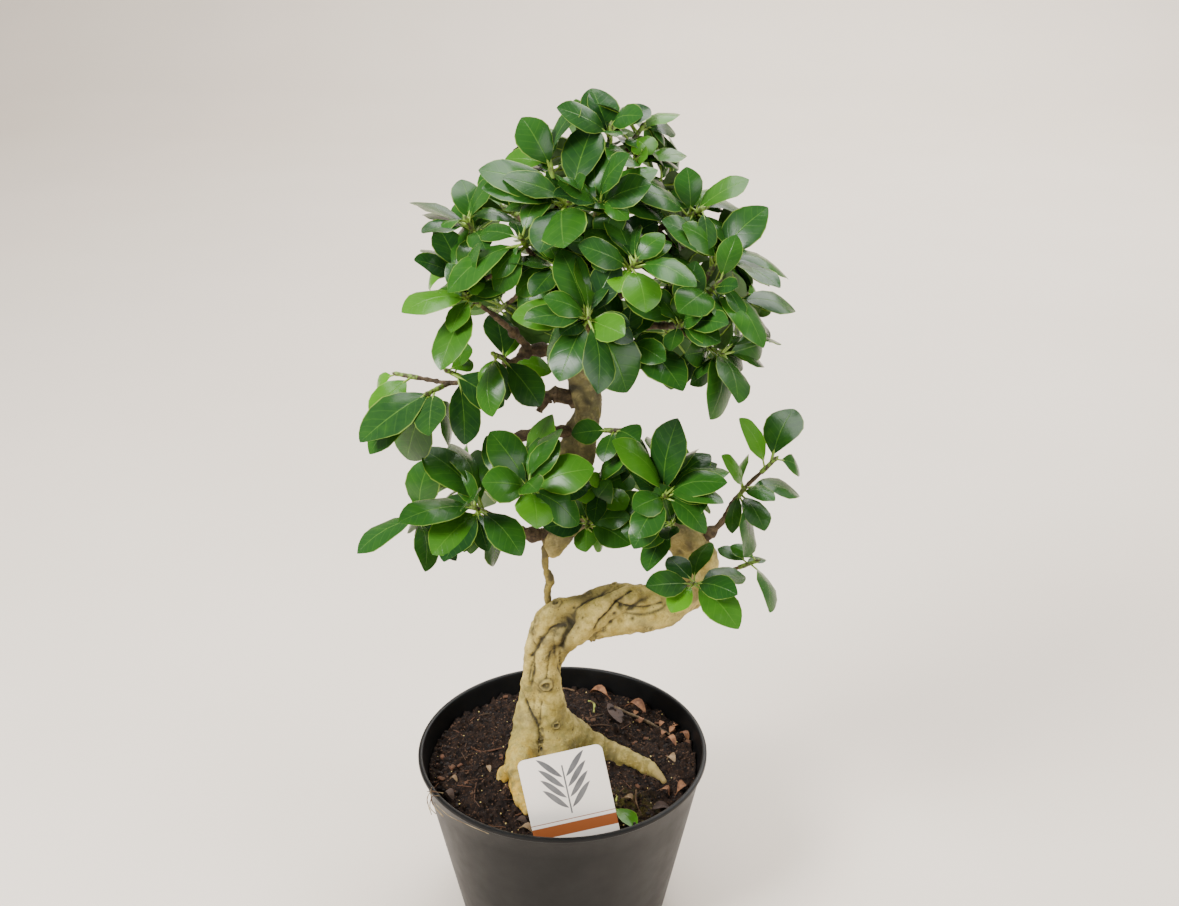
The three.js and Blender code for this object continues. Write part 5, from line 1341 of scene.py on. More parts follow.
def fused_wood(sizes):
    """The trunk and its roots grown together, and how creased each vertex is between strands."""
    strands = strand_runs()
    roots = [run_along(rows, 0.16) for name, rows in LIMBS.items() if "root_" in name]
    others = [run_along(LIMBS[name], 0.1) for name in IN_TRUNK]
    trunk = wood("trunk_bark", [*strands.values(), *roots, *others], 6)
    modify(trunk, "REMESH", mode="VOXEL", voxel_size=sizes.voxel * MM)
    modify(trunk, "SMOOTH", factor=0.5, iterations=2)
    grown = [run for name, run in strands.items() if name != "core"] + others
    for push in range(2):
        points = coordinates(trunk)
        wood_gaps, root_gaps = gaps_sorted(points, grown), gaps_sorted(points, roots)
        stem = fused(wood_gaps[0], wood_gaps[1], sizes.strand_fusion)
        foot = fused(root_gaps[0], root_gaps[1], sizes.root_fusion)
        whole = fused(stem, foot, sizes.root_fusion)
        move_to(trunk, points - normals(trunk) * np.clip(whole, -5, 0.3)[:, None])
        if not push:
            # The crease also sets how much painted shade the bark takes there
            crease = bell(np.maximum(wood_gaps[1], 0) / CREASE_WIDTH) * (wood_gaps[0] < 2.5)
            crease *= np.clip(root_gaps[0] / 3, 0, 1)
    modify(trunk, "SMOOTH", factor=0.5, iterations=3)
    return trunk, crease


class Relief:
    """The bark's relief: how far each vertex is lifted, how much painted shade it takes in its creases,
    cracks and scars, and how rough it is there.
    """

    def __init__(self, trunk, crease):
        self.points = coordinates(trunk)
        self.ground = surface_of(trunk)
        self.spots = [Vector(point) for point in self.points]
        self.drift = np.array([noise(spot * 0.3) for spot in self.spots])
        self.fading = np.array([noise(spot * 0.07 + UP * 5) for spot in self.spots])
        # From here on the crease is the strength of the painted shade in creases, cracks and scars
        self.crease = crease * np.clip(0.62 + 1.1 * self.fading, 0.12, 1)
        self.lift = -CREASE_DEPTH * self.crease
        self.rough = np.zeros(len(self.points))

    def traced(self, run):
        """Points on the bark along a run of [across, up], half a millimetre apart."""
        line = []
        for (a, b), (c, d) in zip(run, run[1:]):
            steps = max(2, round(2 * math.hypot(c - a, d - b)))
            line += [shown_on(self.ground, a + (c - a) * k / steps, b + (d - b) * k / steps)
                for k in range(steps)]
        return [spot for spot in line if spot]

    def crack(self, run, depth, width):
        """A soft valley along the run with a narrow crack down its middle, both darkened by painted
        shade.
        """
        near = gap_to(self.points, [(spot, 0) for spot in self.traced(run)]) + 0.7 * self.drift
        valley = bell(near / (3.2 * width))
        self.lift -= depth * (0.75 * valley + 0.7 * bell(near / (0.9 * width)))
        shade = bell(np.maximum(near, 0) / (0.75 * width))
        shade *= np.clip(0.75 + 0.9 * self.fading, 0.25, 1)
        # Painted shade over the whole valley, deeper for deeper cracks
        valley_shade = min(0.55, 0.12 * depth) * valley
        self.crease = np.maximum(self.crease, min(1, 0.6 + 0.2 * depth) * shade + valley_shade)

    def scar(self, across, up, radius, height):
        """A ring where a branch was, a boss, or a pit where the height is below zero."""
        spot = shown_on(self.ground, across, up)
        if not spot:
            return
        near = np.linalg.norm(self.points - np.array(spot), axis=1) / radius + 0.18 * self.drift
        boss = bell(near / 0.75)
        if radius > RING_LEAST_RADIUS and height > 0:
            self.lift += height * bell((near - 0.72) / 0.24)
        else:
            self.lift += height * boss
        # Painted shade inside and outside a ring, and over the whole of a pit
        if height > 0:
            dark = 0.9 * bell((near - 0.4) / 0.2) + 0.7 * bell((near - 1.1) / 0.16)
            self.crease = np.maximum(self.crease, min(0.9, 0.5 * height) * dark)
        else:
            self.crease = np.maximum(self.crease, 0.9 * boss)
        self.rough = np.maximum(self.rough, 0.55 * bell(near / 1.25))

    def nub(self, chance):
        """A small bump or pit somewhere on the bark."""
        spot = self.points[chance.randrange(len(self.points))]
        radius, height = chance.uniform(1.2, 2.8), chance.choice((-0.9, 0.8, 1.4, 2.2))
        near = np.linalg.norm(self.points - spot, axis=1) / radius
        self.lift += height * bell(near)
        self.rough = np.maximum(self.rough, chance.uniform(0.2, 0.9) * bell(near / 1.3))

    def undulate(self):
        """Low waves of several lengths all over, and patches of rough bark."""
        for i, spot in enumerate(self.spots):
            self.lift[i] += 1.3 * noise(spot * 0.075) + 0.9 * noise(spot * 0.18)
            self.lift[i] += 0.6 * abs(noise(spot * 0.42)) - 0.3 * abs(noise(spot * 0.3 + UP * 3))
            self.rough[i] = max(self.rough[i], 1.8 * noise(spot * 0.06 + UP * 9) - 0.2)


def make_trunk(sizes, material):
    """The trunk and its roots: strands grown together, with creases, cracks, rings and nubs."""
    chance = random.Random(SEED + 5)
    trunk, crease = fused_wood(sizes)
    relief = Relief(trunk, crease)
    for run, depth, width in CRACKS:
        relief.crack(run, depth, width)
    for scar in SCARS:
        relief.scar(*scar)
    for i in range(sizes.nubs):
        relief.nub(chance)
    relief.undulate()
    move_to(trunk, relief.points + normals(trunk) * relief.lift[:, None])
    # The painted shade of the creases, cracks and scars, for the bark's colour
    write_values(trunk, "crease", np.clip(relief.crease, 0, 1))
    write_values(trunk, "rough", np.clip(relief.rough, 0, 1))
    # How far each vertex lies in a hollow, which the bark turns into painted shade and painted highlight
    write_values(trunk, "hollow", np.clip(0.5 + hollows(trunk) / 1.8, 0, 1))
    work_on(trunk)
    bpy.ops.object.shade_smooth()
    return finished(trunk, "bark", "trunk", materials=[material])


def knobbed(name, run):
    """The run with its radius swollen at this limb's knobs."""
    last = len(run) - 1
    for limb, middle, knob_radius in KNOBS:
        if limb == name:
            swelling = [math.exp(-(((i / last - middle) / 0.06) ** 2)) for i in range(last + 1)]
            run = [(spot, radius + max(0, knob_radius - radius) * share)
                for (spot, radius), share in zip(run, swelling)]
    return run


def slimmed(run):
    """The run with its thin wood drawn in to the thickness of real twigs."""
    return [(spot, radius * float(np.interp(radius, (2, 7), (0.64, 1)))) for spot, radius in run]


def make_hanging_root(sizes, material):
    """The thin root that hangs from the upper bend."""
    run = knobbed("aerial_root", run_along(LIMBS["aerial_root"], sizes.roughness, 1.2))
    root = wood("hanging_root", [run], 4)
    for name, value in {"crease": 0.12, "rough": 0.9, "hollow": 0.5}.items():
        write_values(root, name, value)
    return finished(root, "bark", "trunk", materials=[material])


def make_branches(sizes, material):
    """The branches and twigs of the crown."""
    names = [name for name in LIMBS if "root" not in name and name not in IN_TRUNK]
    runs = [knobbed(name, slimmed(run_along(LIMBS[name], sizes.roughness))) for name in names]
    for spray in SPRAYS.values():
        path = spray["path"]
        rows = [[*row, 2.6 - 0.5 * i / (len(path) - 1)] for i, row in enumerate(path)]
        runs.append(slimmed(run_along(rows, sizes.roughness)))
    branches = wood("branches_and_twigs", runs, 3)
    return finished(branches, "bark", "trunk", materials=[material])


def blade_pattern(materials, thickness):
    """The flat blade of the pattern leaf: its upper side, and an underside with a keel."""
    deselect()
    last = len(BLADE) - 1
    bpy.ops.mesh.primitive_grid_add(
        x_subdivisions=LEAF_COLUMNS, y_subdivisions=last, size=1, location=(0, 0.5, 0))
    blade = named("blade_pattern")
    bpy.ops.object.transform_apply(location=True)
    for material in materials:
        blade.data.materials.append(material)
    bpy.ops.object.mode_set(mode="EDIT")
    for i, (share, half) in enumerate(BLADE):
        row = i / last
        pick(lambda vert: abs(vert.co.y - row) < 1e-4)
        bpy.ops.transform.resize(value=(2 * half, 1, 1), center_override=(0, 0, 0))
    drawn = bmesh.from_edit_mesh(blade.data)
    shares = [share for share, half in BLADE]
    for vert in drawn.verts:
        vert.co.y = float(np.interp(vert.co.y * last, range(len(BLADE)), shares))
    bmesh.update_edit_mesh(blade.data)
    bpy.ops.mesh.select_all(action="SELECT")
    bpy.ops.mesh.duplicate()
    blade.active_material_index = 1
    bpy.ops.object.material_slot_assign()
    bpy.ops.mesh.flip_normals()
    drawn = bmesh.from_edit_mesh(blade.data)
    for vert in drawn.verts:
        if vert.select and not vert.is_boundary:
            vert.co.z = -thickness
    bmesh.update_edit_mesh(blade.data)
    bpy.ops.mesh.select_all(action="SELECT")
    bpy.ops.mesh.remove_doubles(threshold=1e-5)
    bpy.ops.object.mode_set(mode="OBJECT")
    return blade


def stalk_pattern(material):
    """The stalk of the pattern leaf, which carries on as a midrib under the blade."""
    deselect()
    bpy.ops.mesh.primitive_cylinder_add(
        vertices=6, radius=1, depth=STALK_LENGTH, location=(0, STALK_LENGTH / 2, STALK_DROP),
        rotation=(-math.pi / 2, 0, 0))
    stalk = named("stalk_pattern")
    bpy.ops.object.transform_apply(location=True, rotation=True)
    stalk.data.materials.append(material)
    bpy.ops.object.mode_set(mode="EDIT")
    bpy.ops.mesh.select_all(action="SELECT")
    bpy.ops.transform.resize(value=(0.042, 1, 0.72), center_override=(0, 0, STALK_DROP))
    for reach, width in MIDRIB:
        furthest = max(vert.co.y for vert in bmesh.from_edit_mesh(stalk.data).verts)
        pick(lambda face: all(vert.co.y > furthest - 1e-4 for vert in face.verts), "faces")
        bpy.ops.mesh.extrude_region_move(TRANSFORM_OT_translate={"value": (0, reach, 0)})
        bpy.ops.transform.resize(value=(width, 1, width), center_override=(0, 0, MIDRIB_DROP))
    bpy.ops.object.mode_set(mode="OBJECT")
    return stalk


def leaf_pattern(materials, thickness=LEAF_THICKNESS):
    """The flat leaf that all are copied from: root at the origin, tip at +Y, a unit long and wide.

    Its thickness alone is in millimetres. Its materials are those of the upper side, the
    underside and the stalk.
    """
    leaf = joined([blade_pattern(materials, thickness), stalk_pattern(materials[2])], "leaf_pattern")
    bpy.ops.object.shade_smooth_by_angle(angle=math.radians(60))
    write_values(leaf, "youth", 0)
    write_values(leaf, "luck", 0)
    return leaf


def grow_leaf(pattern, shape, youth, luck, arch, fold, curl=0.0):
    """A copy of the pattern from its base to its tip, arched, folded and a little twisted."""
    base, tip, facing, width = shape
    length = (tip - base).length
    way = (tip - base).normalized()
    side = way.cross(facing).normalized()
    top = side.cross(way)
    across, share, above = (coordinates(pattern) * MM).T
    reach = across * width
    bend = arch * (0.4 + 1.3 * luck) * length * np.sin(np.pi * share)
    lift = fold * (np.hypot(reach, 1.5) - 1.5) * (1.25 - 0.6 * luck)
    lift -= curl * (0.7 + 0.6 * luck) * reach**2 * 2 / width
    wave = 0.05 * width * np.sin(9 * share + 7 * luck + 2 * np.sign(across)) * (2 * across) ** 2
    twist = (luck - 0.5) * 0.5 * np.maximum(share - 0.25, 0)
    height = bend + lift + wave + above + reach * twist
    sway = 0.035 * length * (youth - luck) * np.sin(np.pi * share) ** 2
    steps = np.stack([reach + sway, length * share, height], 1)
    leaf = copy_of(pattern)
    move_to(leaf, np.array(base) + steps @ np.array([side, way, top]))
    write_values(leaf, "youth", youth)
    write_values(leaf, "luck", luck)
    return leaf


def seen_leaf(base, row):
    """The leaf whose tip shows at the row's [across, up]: its base, tip, facing and width."""
    across, up, reach, width = row[:4]
    sight = (place((across, up, 0)) - EYE).normalized()
    foot = EYE + sight * (base - EYE).dot(sight)
    spare = math.sqrt(max(0, reach**2 - (foot - base).length_squared))
    tip = foot + sight * math.copysign(spare, reach)
    way = (tip - base).normalized()
    facing = square_to((EYE - tip).normalized(), way)
    shown_width = width * (1 - base.y / EYE.y)
    true_width = LEAF_FULLNESS * max(shown_width, LEAF_SLIMNESS * (tip - base).length)
    turn = math.acos(min(1, shown_width / true_width))
    edge = way.cross(facing)
    if edge.z < 0:
        edge.negate()
    return base, tip, facing * math.cos(turn) + edge * math.sin(turn), true_width


def ruled_leaf(base, way, index, count, draw):
    """Leaf `index` of `count` round a shoot, the lowest spread widest."""
    share = index / max(1, count - 1)
    lean = REAR_LOWEST_TURN + (REAR_HIGHEST_TURN - REAR_LOWEST_TURN) * share
    tilt = lean + REAR_LEAF_SPREAD * (draw() - 0.5)
    turn = index * GOLDEN_ANGLE + draw()
    side = way.cross(UP).normalized()
    out = side * math.cos(turn) + side.cross(way) * math.sin(turn)
    line = way * math.cos(tilt) + out * math.sin(tilt)
    length = REAR_LEAF_LENGTH * (1 + REAR_LEAF_SPREAD * (draw() - 0.5) - REAR_LEAF_FALL * share)
    facing = square_to(way + UP * REAR_LEAF_UPTURN, line)
    return base, base + line * length, facing, REAR_LEAF_WIDTH * length


def posed(leaf, number):
    """The same leaf swung aside: number 0 is untouched, and each later one is swung further."""
    base, tip, facing, width = leaf
    way = (tip - base).normalized()
    side = way.cross(facing).normalized()
    swing, turn = POSE_STEP * math.sqrt(number), number * GOLDEN_ANGLE
    shrink = 1 - POSE_SHRINK * number
    swung = (way + facing * swing * math.cos(turn) + side * swing * math.sin(turn)).normalized()
    tip = base + swung * (tip - base).length * shrink
    return base, tip, square_to(facing, swung), width * shrink


def fitted(leaf, tips):
    """The pose in which the frame holds this leaf, or None where it has no such leaf."""
    for number in range(POSES):
        pose = posed(leaf, number)
        if tips.find(pose[1])[2] < POSE_MATCH:
            return pose
    return None


def repeatable(seed):
    """Numbers from 0 to 1 by the rule that the frame's own leaves follow."""
    state = seed
    while True:
        state = (state * 1664525 + 1013904223) % 2**32
        yield state / 2**32


def shoot_run(end, way, stem):
    """A green shoot with a swollen node and a pointed bud at its end."""
    return [(end + way * (SHOOT_GAP + max(share, -0.1) * stem), radius) for share, radius in SHOOT]


def outlined(spot, outline):
    """Whether the sight line through the point passes inside the outline."""
    reach = EYE.y / (EYE.y - spot.y)
    across, up = EYE.x + (spot.x - EYE.x) * reach, EYE.z + (spot.z - EYE.z) * reach
    within = False
    for (a, b), (c, d) in zip(outline, outline[1:] + outline[:1]):
        if (b > up) != (d > up) and across < a + (up - b) / (d - b) * (c - a):
            within = not within
    return within


def leaf_spots(leaf):
    """Points spread over a leaf, in millimetres."""
    base, tip, facing, width = leaf
    side = (tip - base).cross(facing).normalized() * width * 0.45
    return [base.lerp(tip, 0.4), base.lerp(tip, 0.75), tip, base.lerp(tip, 0.65) + side,
        base.lerp(tip, 0.65) - side]


def fills_in(leaf, crown):
    """Whether a leaf stays within the crown's outline and leaves the leaves in front in view."""
    hiding = 0
    for spot in leaf_spots(leaf):
        if not any(outlined(spot, outline) for outline in (UPPER_CROWN, LOWER_CROWN)):
            return False
        way = (EYE - spot).normalized()
        shown = crown.ray_cast(spot * MM + way * 2 * MM, way)[0] is None
        behind = crown.ray_cast(spot * MM - way * 2 * MM, -way, CROWN_REACH * MM)[0] is not None
        hiding += shown and behind
    return hiding < 2


def filler_leaves(end, way, stem, sizes, crown, chance):
    """Smaller leaves low on a shoot, which thicken the crown behind the leaves in view."""
    kept = []
    for attempt in range(12 * sizes.fillers):
        if len(kept) == sizes.fillers:
            break
        base = end + way * stem * chance.uniform(-0.2, 0.75)
        turn, tilt = chance.uniform(0, 2 * math.pi), chance.uniform(0.7, 1.75)
        side = way.cross(UP).normalized()
        out = side * math.cos(turn) + side.cross(way) * math.sin(turn)
        line = way * math.cos(tilt) + out * math.sin(tilt)
        length = chance.uniform(*FILLER_LENGTHS)
        leaf = base, base + line * length, square_to(way + UP * 0.6, line), 0.5 * length
        if fills_in(leaf, crown):
            kept.append(leaf)
    return kept


def crown_surface():
    """One tree of the faces of every spray in the frame."""
    spots, faces = [], []
    for name in SPRAYS:
        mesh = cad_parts["spray_" + name].data
        first = len(spots)
        spots += [vertex.co.copy() for vertex in mesh.vertices]
        faces += [[first + i for i in face.vertices] for face in mesh.polygons]
    return BVHTree.FromPolygons(spots, faces)


def in_box(leaf):
    """Whether a leaf's tip and sides stay a millimetre inside the frame's box."""
    return all(low + MM < value * MM < high - MM for spot in leaf_spots(leaf)
        for low, value, high in zip(FRAME_LOW, spot, FRAME_HIGH))


def leaf_tips(node):
    """A tree of the node's vertices, by which the leaves that it holds are found."""
    tips = KDTree(len(node.data.vertices))
    for i, vertex in enumerate(node.data.vertices):
        tips.insert(vertex.co / MM, i)
    tips.balance()
    return tips


def listed_leaves(name, end, way, draw):
    """The spray's leaves as the frame has them, each with how young it is."""
    spray, tips = SPRAYS[name], leaf_tips(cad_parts["spray_" + name])
    stem, rows, fill = spray.get("stem", SHOOT_LENGTH), spray.get("leaves", []), spray.get("fill", 0)

    def base(index, count, span):
        share = span[0] + (span[1] - span[0]) * index / max(1, count - 1)
        return end + way * (SHOOT_GAP + stem * share)

    leaves = []
    for i, row in enumerate(rows):
        leaf = seen_leaf(base(i, len(rows), SEEN_SPAN), row)
        pose = leaf if in_box(leaf) else fitted(leaf, tips)
        leaves.append((pose, row[4] if len(row) > 4 else 0.0))
    for i in range(fill):
        leaf = ruled_leaf(base(i, fill, RULED_SPAN), way, i, fill, draw)
        leaves.append((fitted(leaf, tips), 0.0))
    return [(pose, youth) for pose, youth in leaves if pose]


def make_spray(name, pattern, shoot_material, sizes, crown, draw, chance):
    """One leafy shoot: bent copies of the pattern leaf on a shoot that ends in a bud."""
    bends = sizes.arch, sizes.fold, sizes.curl
    path = [place(row) for row in SPRAYS[name]["path"]]
    end, way = path[-1], (path[-1] - path[-2]).normalized()
    stem = SPRAYS[name].get("stem", SHOOT_LENGTH)
    pieces = []
    for leaf, youth in listed_leaves(name, end, way, draw):
        youth += 0.12 * chance.random()
        pieces.append(grow_leaf(pattern, leaf, youth, chance.random(), *bends))
    for row in MORE_LEAVES.get(name, []):
        leaf = seen_leaf(end + way * (SHOOT_GAP + 0.4 * stem), row)
        if in_box(leaf):
            luck = chance.random()
            pieces.append(grow_leaf(pattern, leaf, 0.15 * luck, luck, *bends))
    for leaf in filler_leaves(end, way, stem, sizes, crown, chance):
        luck = chance.random()
        pieces.append(grow_leaf(pattern, leaf, 0.1 * luck, luck, *bends))
    shoot = wood("shoot", [shoot_run(end, way, stem)], 2)
    shoot.data.materials.append(shoot_material)
    return finished(joined([*pieces, shoot], "leaves_" + name), "leaf", "spray_" + name)


def make_label(sizes, material):
    """The card: a plane with rounded corners given its thickness, set leaning in the peat."""
    deselect()
    bpy.ops.mesh.primitive_plane_add(size=1)
    card = named("label_card")
    bpy.ops.object.mode_set(mode="EDIT")
    width, height, board = sizes.width * MM, sizes.height * MM, sizes.board * MM
    bpy.ops.transform.resize(value=(width, height, 1))
    bpy.ops.mesh.bevel(offset=sizes.corner * MM, segments=8, affect="VERTICES")
    bpy.ops.mesh.extrude_region_move(TRANSFORM_OT_translate={"value": (0, 0, board)})
    bpy.ops.mesh.select_all(action="SELECT")
    bpy.ops.mesh.normals_make_consistent(inside=False)
    bpy.ops.object.mode_set(mode="OBJECT")
    modify(card, "BEVEL", width=board / 4, segments=2, limit_method="ANGLE")
    chart = card.data.uv_layers[0].data
    for loop in card.data.loops:
        spot = card.data.vertices[loop.vertex_index].co
        chart[loop.index].uv = (spot.x / width + 0.5, spot.y / height + 0.5)
    up = LABEL_UP.normalized()
    across = square_to(LABEL_ACROSS, up)
    basis = Matrix((across, up, across.cross(up))).transposed().to_4x4()
    middle = LABEL_FOOT * MM + across * width / 2 + up * height / 2
    card.data.transform(Matrix.Translation(middle) @ basis @ Matrix.Translation((0, 0, -board / 2)))
    work_on(card)
    bpy.ops.object.shade_smooth_by_angle(angle=math.radians(35))
    return finished(card, "card", "plant_label", materials=[material])


def make_fallen(sizes, colours):
    """The leaves and the dry twig that lie on the peat."""
    chance = random.Random(SEED + 3)
    dry = dry_leaf_finish(colours)
    green_pattern = leaf_pattern(leaf_finishes(colours), sizes.blade)
    dry_pattern = leaf_pattern([dry, dry, dry], sizes.blade)
    for name, (base, tip, width, arch, fold) in FALLEN_LEAVES.items():
        fresh = name.startswith("fallen")
        base, tip = Vector(base), Vector(tip)
        shape = (base, tip, square_to(UP, (tip - base).normalized()), width)
        piece = grow_leaf(green_pattern if fresh else dry_pattern, shape, 0.6, 0.45, arch, fold)
        piece.name = name.replace("_leaf", "_blade")
        finished(piece, "leaf" if fresh else "dry_leaf", name)
    run = run_along(DRY_TWIG, 0.5)
    twig = wood("dry_twig_stem", [run], 2)
    twig.data.materials.append(twig_finish(colours))
    bits = []
    for share, reach in TWIG_BITS:
        spot = run[int(share * (len(run) - 1))][0]
        tip = spot + Vector((reach * 0.6, reach, 1.2))
        bits.append(grow_leaf(dry_pattern, (spot, tip, UP, 4.5), 0.5, chance.random(), 0.3, 0.8))
    finished(joined([twig, *bits], "dry_twig_with_bits"), "bark", "dry_twig")
    bpy.data.objects.remove(green_pattern)
    bpy.data.objects.remove(dry_pattern)


def make_crumbs(sizes, colours, ground):
    """What is strewn over the peat: brown, dark and pale crumbs, chips of bark and fibres."""
    chance = random.Random(SEED)
    brown = crumb_finish("brown_crumb", colours.crumb_brown, colours.peat_light)
    dark = crumb_finish("dark_crumb", colours.peat, colours.peat_hollow_shade_and_dark_crumbs)
    pale = crumb_finish("pale_crumb", colours.crumb_pale, colours.bark_pale)
    red = crumb_finish("reddish_chip", colours.crumb_red, colours.crumb_brown)
    scatter("crumbs_brown", "lump", sizes.brown_crumbs, (0.6, 2.2), ground, brown, chance)
    scatter("crumbs_dark", "lump", sizes.dark_crumbs, (0.9, 3.2), ground, dark, chance)
    scatter("crumbs_pale", "lump", sizes.pale_crumbs, (0.6, 1.5), ground, pale, chance)
    scatter("bark_chips", "chip", sizes.chips, (1.2, 4.2), ground, red, chance)
    scatter("fibres", "fibre", sizes.fibres, (0.8, 2.0), ground, red, chance)
    scatter("fibres_brown", "fibre", sizes.fibres, (0.7, 1.8), ground, brown, chance)


def rows_by_tone(table):
    """The table's rows without their first column, gathered by it, in its alphabetical order."""
    return {tone: [row[1:] for row in table if row[0] == tone]
        for tone in sorted({row[0] for row in table})}


def make_loose_stems(colours, ground, chance):
    """Thin roots and stems that lie here and there on the peat and the rim."""
    for tone, rows in rows_by_tone(LOOSE_STEMS).items():
        runs = []
        for radius, spots in rows:
            course = [(x, y, level(ground, x, y) + lift) for x, y, lift in spots]
            steps = 5 * (len(course) - 1)
            runs.append([(Vector(along(course, i / 5)), radius * chance.uniform(0.75, 1.25))
                for i in range(steps + 1)])
        stems = wood("loose_stems_" + tone, runs, 1)
        material = crumb_finish(tone + "_stem", getattr(colours, tone), colours.peat_light)
        finished(stems, "peat", materials=[material])


def make_loose_leaves(colours, ground, chance):
    """Dead leaves that lie here and there on the peat."""
    for tone, rows in rows_by_tone(LOOSE_LEAVES).items():
        dead = dry_leaf_finish(colours, tone)
        pattern = leaf_pattern([dead, dead, dead])
        leaves = []
        for base, tip, width, arch, fold in rows:
            base, tip = (Vector((x, y, level(ground, x, y) + 0.9)) for x, y in (base, tip))
            shape = base, tip, square_to(UP, (tip - base).normalized()), width
            leaves.append(grow_leaf(pattern, shape, 0.5, chance.random(), arch, fold))
        bpy.data.objects.remove(pattern)
        finished(joined(leaves, "loose_leaves_" + tone), "dry_leaf")


def make_litter(colours, ground):
    """Thin roots, stems and dead leaves that lie here and there on the peat and the rim."""
    chance = random.Random(SEED + 7)
    make_loose_stems(colours, ground, chance)
    make_loose_leaves(colours, ground, chance)


def make_crown(sizes, colours):
    """Every spray of the crown, in the order in which the rule draws its numbers."""
    chance = random.Random(SEED + 1)
    numbers = repeatable(SEED)
    pattern = leaf_pattern(leaf_finishes(colours), sizes.blade)
    shoot_material = shoot_finish(colours)
    crown = crown_surface()
    for name in SPRAYS:
        make_spray(name, pattern, shoot_material, sizes, crown, lambda: next(numbers), chance)
    bpy.data.objects.remove(pattern)


def make_floor(colours):
    """A wide pale floor that curves up behind."""
    deselect()
    bpy.ops.mesh.primitive_plane_add(size=6, location=(0, 0, -0.0005))
    floor = named("studio_floor")
    bpy.ops.object.transform_apply(location=True)
    bpy.ops.object.mode_set(mode="EDIT")
    for rise, back in FLOOR_STEPS:
        drawn = bmesh.from_edit_mesh(floor.data)
        furthest = max(vert.co.y + vert.co.z for vert in drawn.verts)
        pick(lambda edge: all(v.co.y + v.co.z > furthest - 1e-4 for v in edge.verts), "edges")
        bpy.ops.mesh.extrude_region_move(TRANSFORM_OT_translate={"value": (0, back, rise)})
    bpy.ops.mesh.select_all(action="SELECT")
    bpy.ops.mesh.normals_make_consistent(inside=False)
    bpy.ops.object.mode_set(mode="OBJECT")
    bpy.ops.object.shade_smooth()
    floor.data.materials.append(floor_finish(colours))


def area_light(name, power, size, spot, target):
    """A square soft light at `spot` that faces `target`."""
    deselect()
    turn = (Vector(spot) - Vector(target)).to_track_quat("Z", "Y").to_euler()
    bpy.ops.object.light_add(type="AREA", location=spot, rotation=turn)
    light = bpy.context.object
    light.name = name
    light.data.energy = power
    light.data.size = size


def make_lights(sizes):
    """The soft lights at both sides, overhead and behind, and an even sky."""
    for name, (size, spot, target) in LIGHTS.items():
        area_light("light_" + name, getattr(sizes, name), size, spot, target)
    world = bpy.context.scene.world or bpy.data.worlds.new("studio_sky")
    bpy.context.scene.world = world
    world.use_nodes = True
    sky = world.node_tree.nodes["Background"]
    sky.inputs["Color"].default_value = SKY_COLOUR
    sky.inputs["Strength"].default_value = sizes.sky


def make_camera(sizes):
    """The camera, at the eye that the rows are laid out from."""
    deselect()
    bpy.ops.object.camera_add(location=EYE * MM, rotation=(sizes.tilt, 0, 0))
    camera = bpy.context.object
    camera.name = "camera_front"
    camera.data.lens = sizes.lens
    camera.data.sensor_width = SENSOR_WIDTH
    bpy.context.scene.camera = camera


class BONSAI_OT_stage(Operator):
    """Set the floor, the lights and the camera"""

    bl_idname = "bonsai.stage"
    bl_label = "Stage"

    def execute(self, context):
        scene = context.scene
        make_floor(scene.bonsai_colours)
        make_lights(scene.bonsai_studio)
        make_camera(scene.bonsai_studio)
        return {"FINISHED"}


class BONSAI_OT_pot(Operator):
    """Make the pot"""

    bl_idname = "bonsai.pot"
    bl_label = "Pot"

    def execute(self, context):
        scene = context.scene
        make_pot(scene.bonsai_pot, pot_finish(scene.bonsai_colours))
        return {"FINISHED"}


class BONSAI_OT_trunk(Operator):
    """Make the trunk with its roots, and the branches and twigs"""

    bl_idname = "bonsai.trunk"
    bl_label = "Trunk and Branches"

    def execute(self, context):
        scene = context.scene
        bark = bark_finish(scene.bonsai_colours)
        make_trunk(scene.bonsai_wood, bark)
        make_hanging_root(scene.bonsai_wood, bark)
        make_branches(scene.bonsai_wood, twig_finish(scene.bonsai_colours))
        return {"FINISHED"}


class BONSAI_OT_peat(Operator):
    """Make the peat and strew crumbs, chips, fibres and roots over it"""

    bl_idname = "bonsai.peat"
    bl_label = "Peat"

    def execute(self, context):
        scene = context.scene
        sizes, colours = scene.bonsai_peat, scene.bonsai_colours
        peat = make_peat(sizes, peat_finish(colours))
        ground = surface_of(peat)
        make_crumbs(sizes, colours, ground)
        make_litter(colours, ground)
        return {"FINISHED"}


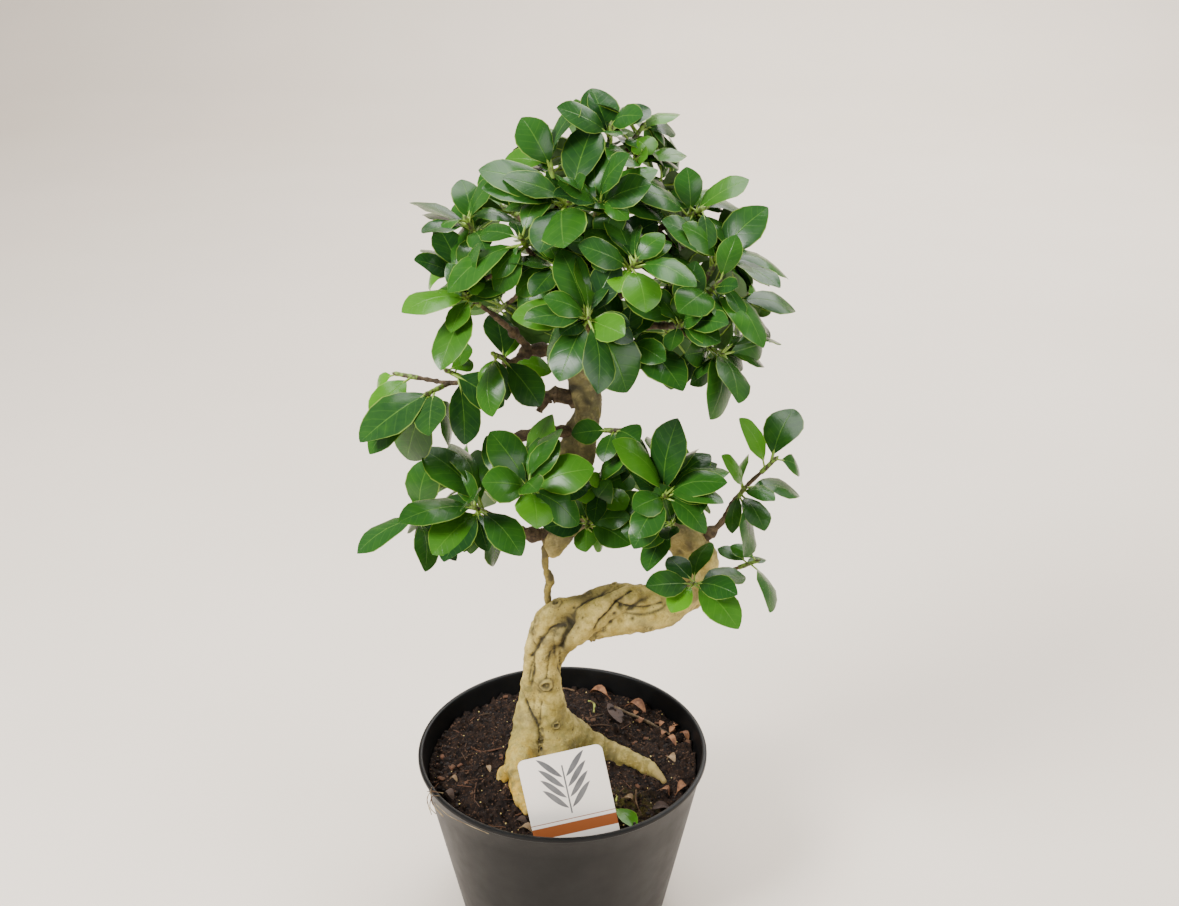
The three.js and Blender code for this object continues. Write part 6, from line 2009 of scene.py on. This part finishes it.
class BONSAI_OT_leaves(Operator):
    """Grow the leafy shoots of the crown"""

    bl_idname = "bonsai.leaves"
    bl_label = "Leaves"

    def execute(self, context):
        scene = context.scene
        make_crown(scene.bonsai_leaves, scene.bonsai_colours)
        return {"FINISHED"}


class BONSAI_OT_fallen(Operator):
    """Lay the fallen leaves and the dry twig on the peat"""

    bl_idname = "bonsai.fallen"
    bl_label = "Fallen Leaves"

    def execute(self, context):
        scene = context.scene
        make_fallen(scene.bonsai_leaves, scene.bonsai_colours)
        return {"FINISHED"}


class BONSAI_OT_label(Operator):
    """Stick the card in the peat"""

    bl_idname = "bonsai.label"
    bl_label = "Label"

    def execute(self, context):
        scene = context.scene
        make_label(scene.bonsai_card, card_finish(scene.bonsai_colours))
        return {"FINISHED"}


STEPS = [
    (BONSAI_OT_stage, "bonsai_studio"),
    (BONSAI_OT_pot, "bonsai_pot"),
    (BONSAI_OT_trunk, "bonsai_wood"),
    (BONSAI_OT_peat, "bonsai_peat"),
    (BONSAI_OT_leaves, "bonsai_leaves"),
    (BONSAI_OT_fallen, "bonsai_leaves"),
    (BONSAI_OT_label, "bonsai_card"),
]


class BONSAI_PT_panel(Panel):
    """The steps, each with its sizes, and the colours"""

    bl_label = "Potted Bonsai"
    bl_idname = "BONSAI_PT_panel"
    bl_space_type = "VIEW_3D"
    bl_region_type = "UI"
    bl_category = "Bonsai"

    def draw(self, context):
        for operator, settings in [*STEPS, (None, "bonsai_colours")]:
            box = self.layout.box()
            if operator:
                box.operator(operator.bl_idname)
            group = getattr(context.scene, settings)
            for name in group.bl_rna.properties.keys():
                if name not in ("name", "rna_type"):
                    box.prop(group, name)


CLASSES = [*SETTINGS.values(), *[operator for operator, settings in STEPS], BONSAI_PT_panel]


def register():
    for item in CLASSES:
        bpy.utils.register_class(item)
    for name, group in SETTINGS.items():
        setattr(bpy.types.Scene, name, PointerProperty(type=group))


def unregister():
    for name in SETTINGS:
        delattr(bpy.types.Scene, name)
    for item in reversed(CLASSES):
        bpy.utils.unregister_class(item)


def main():
    """Makes every piece in order."""
    register()
    for operator, settings in STEPS:
        getattr(bpy.ops.bonsai, operator.bl_idname.split(".")[1])()


if __name__ == "__main__":
    main()
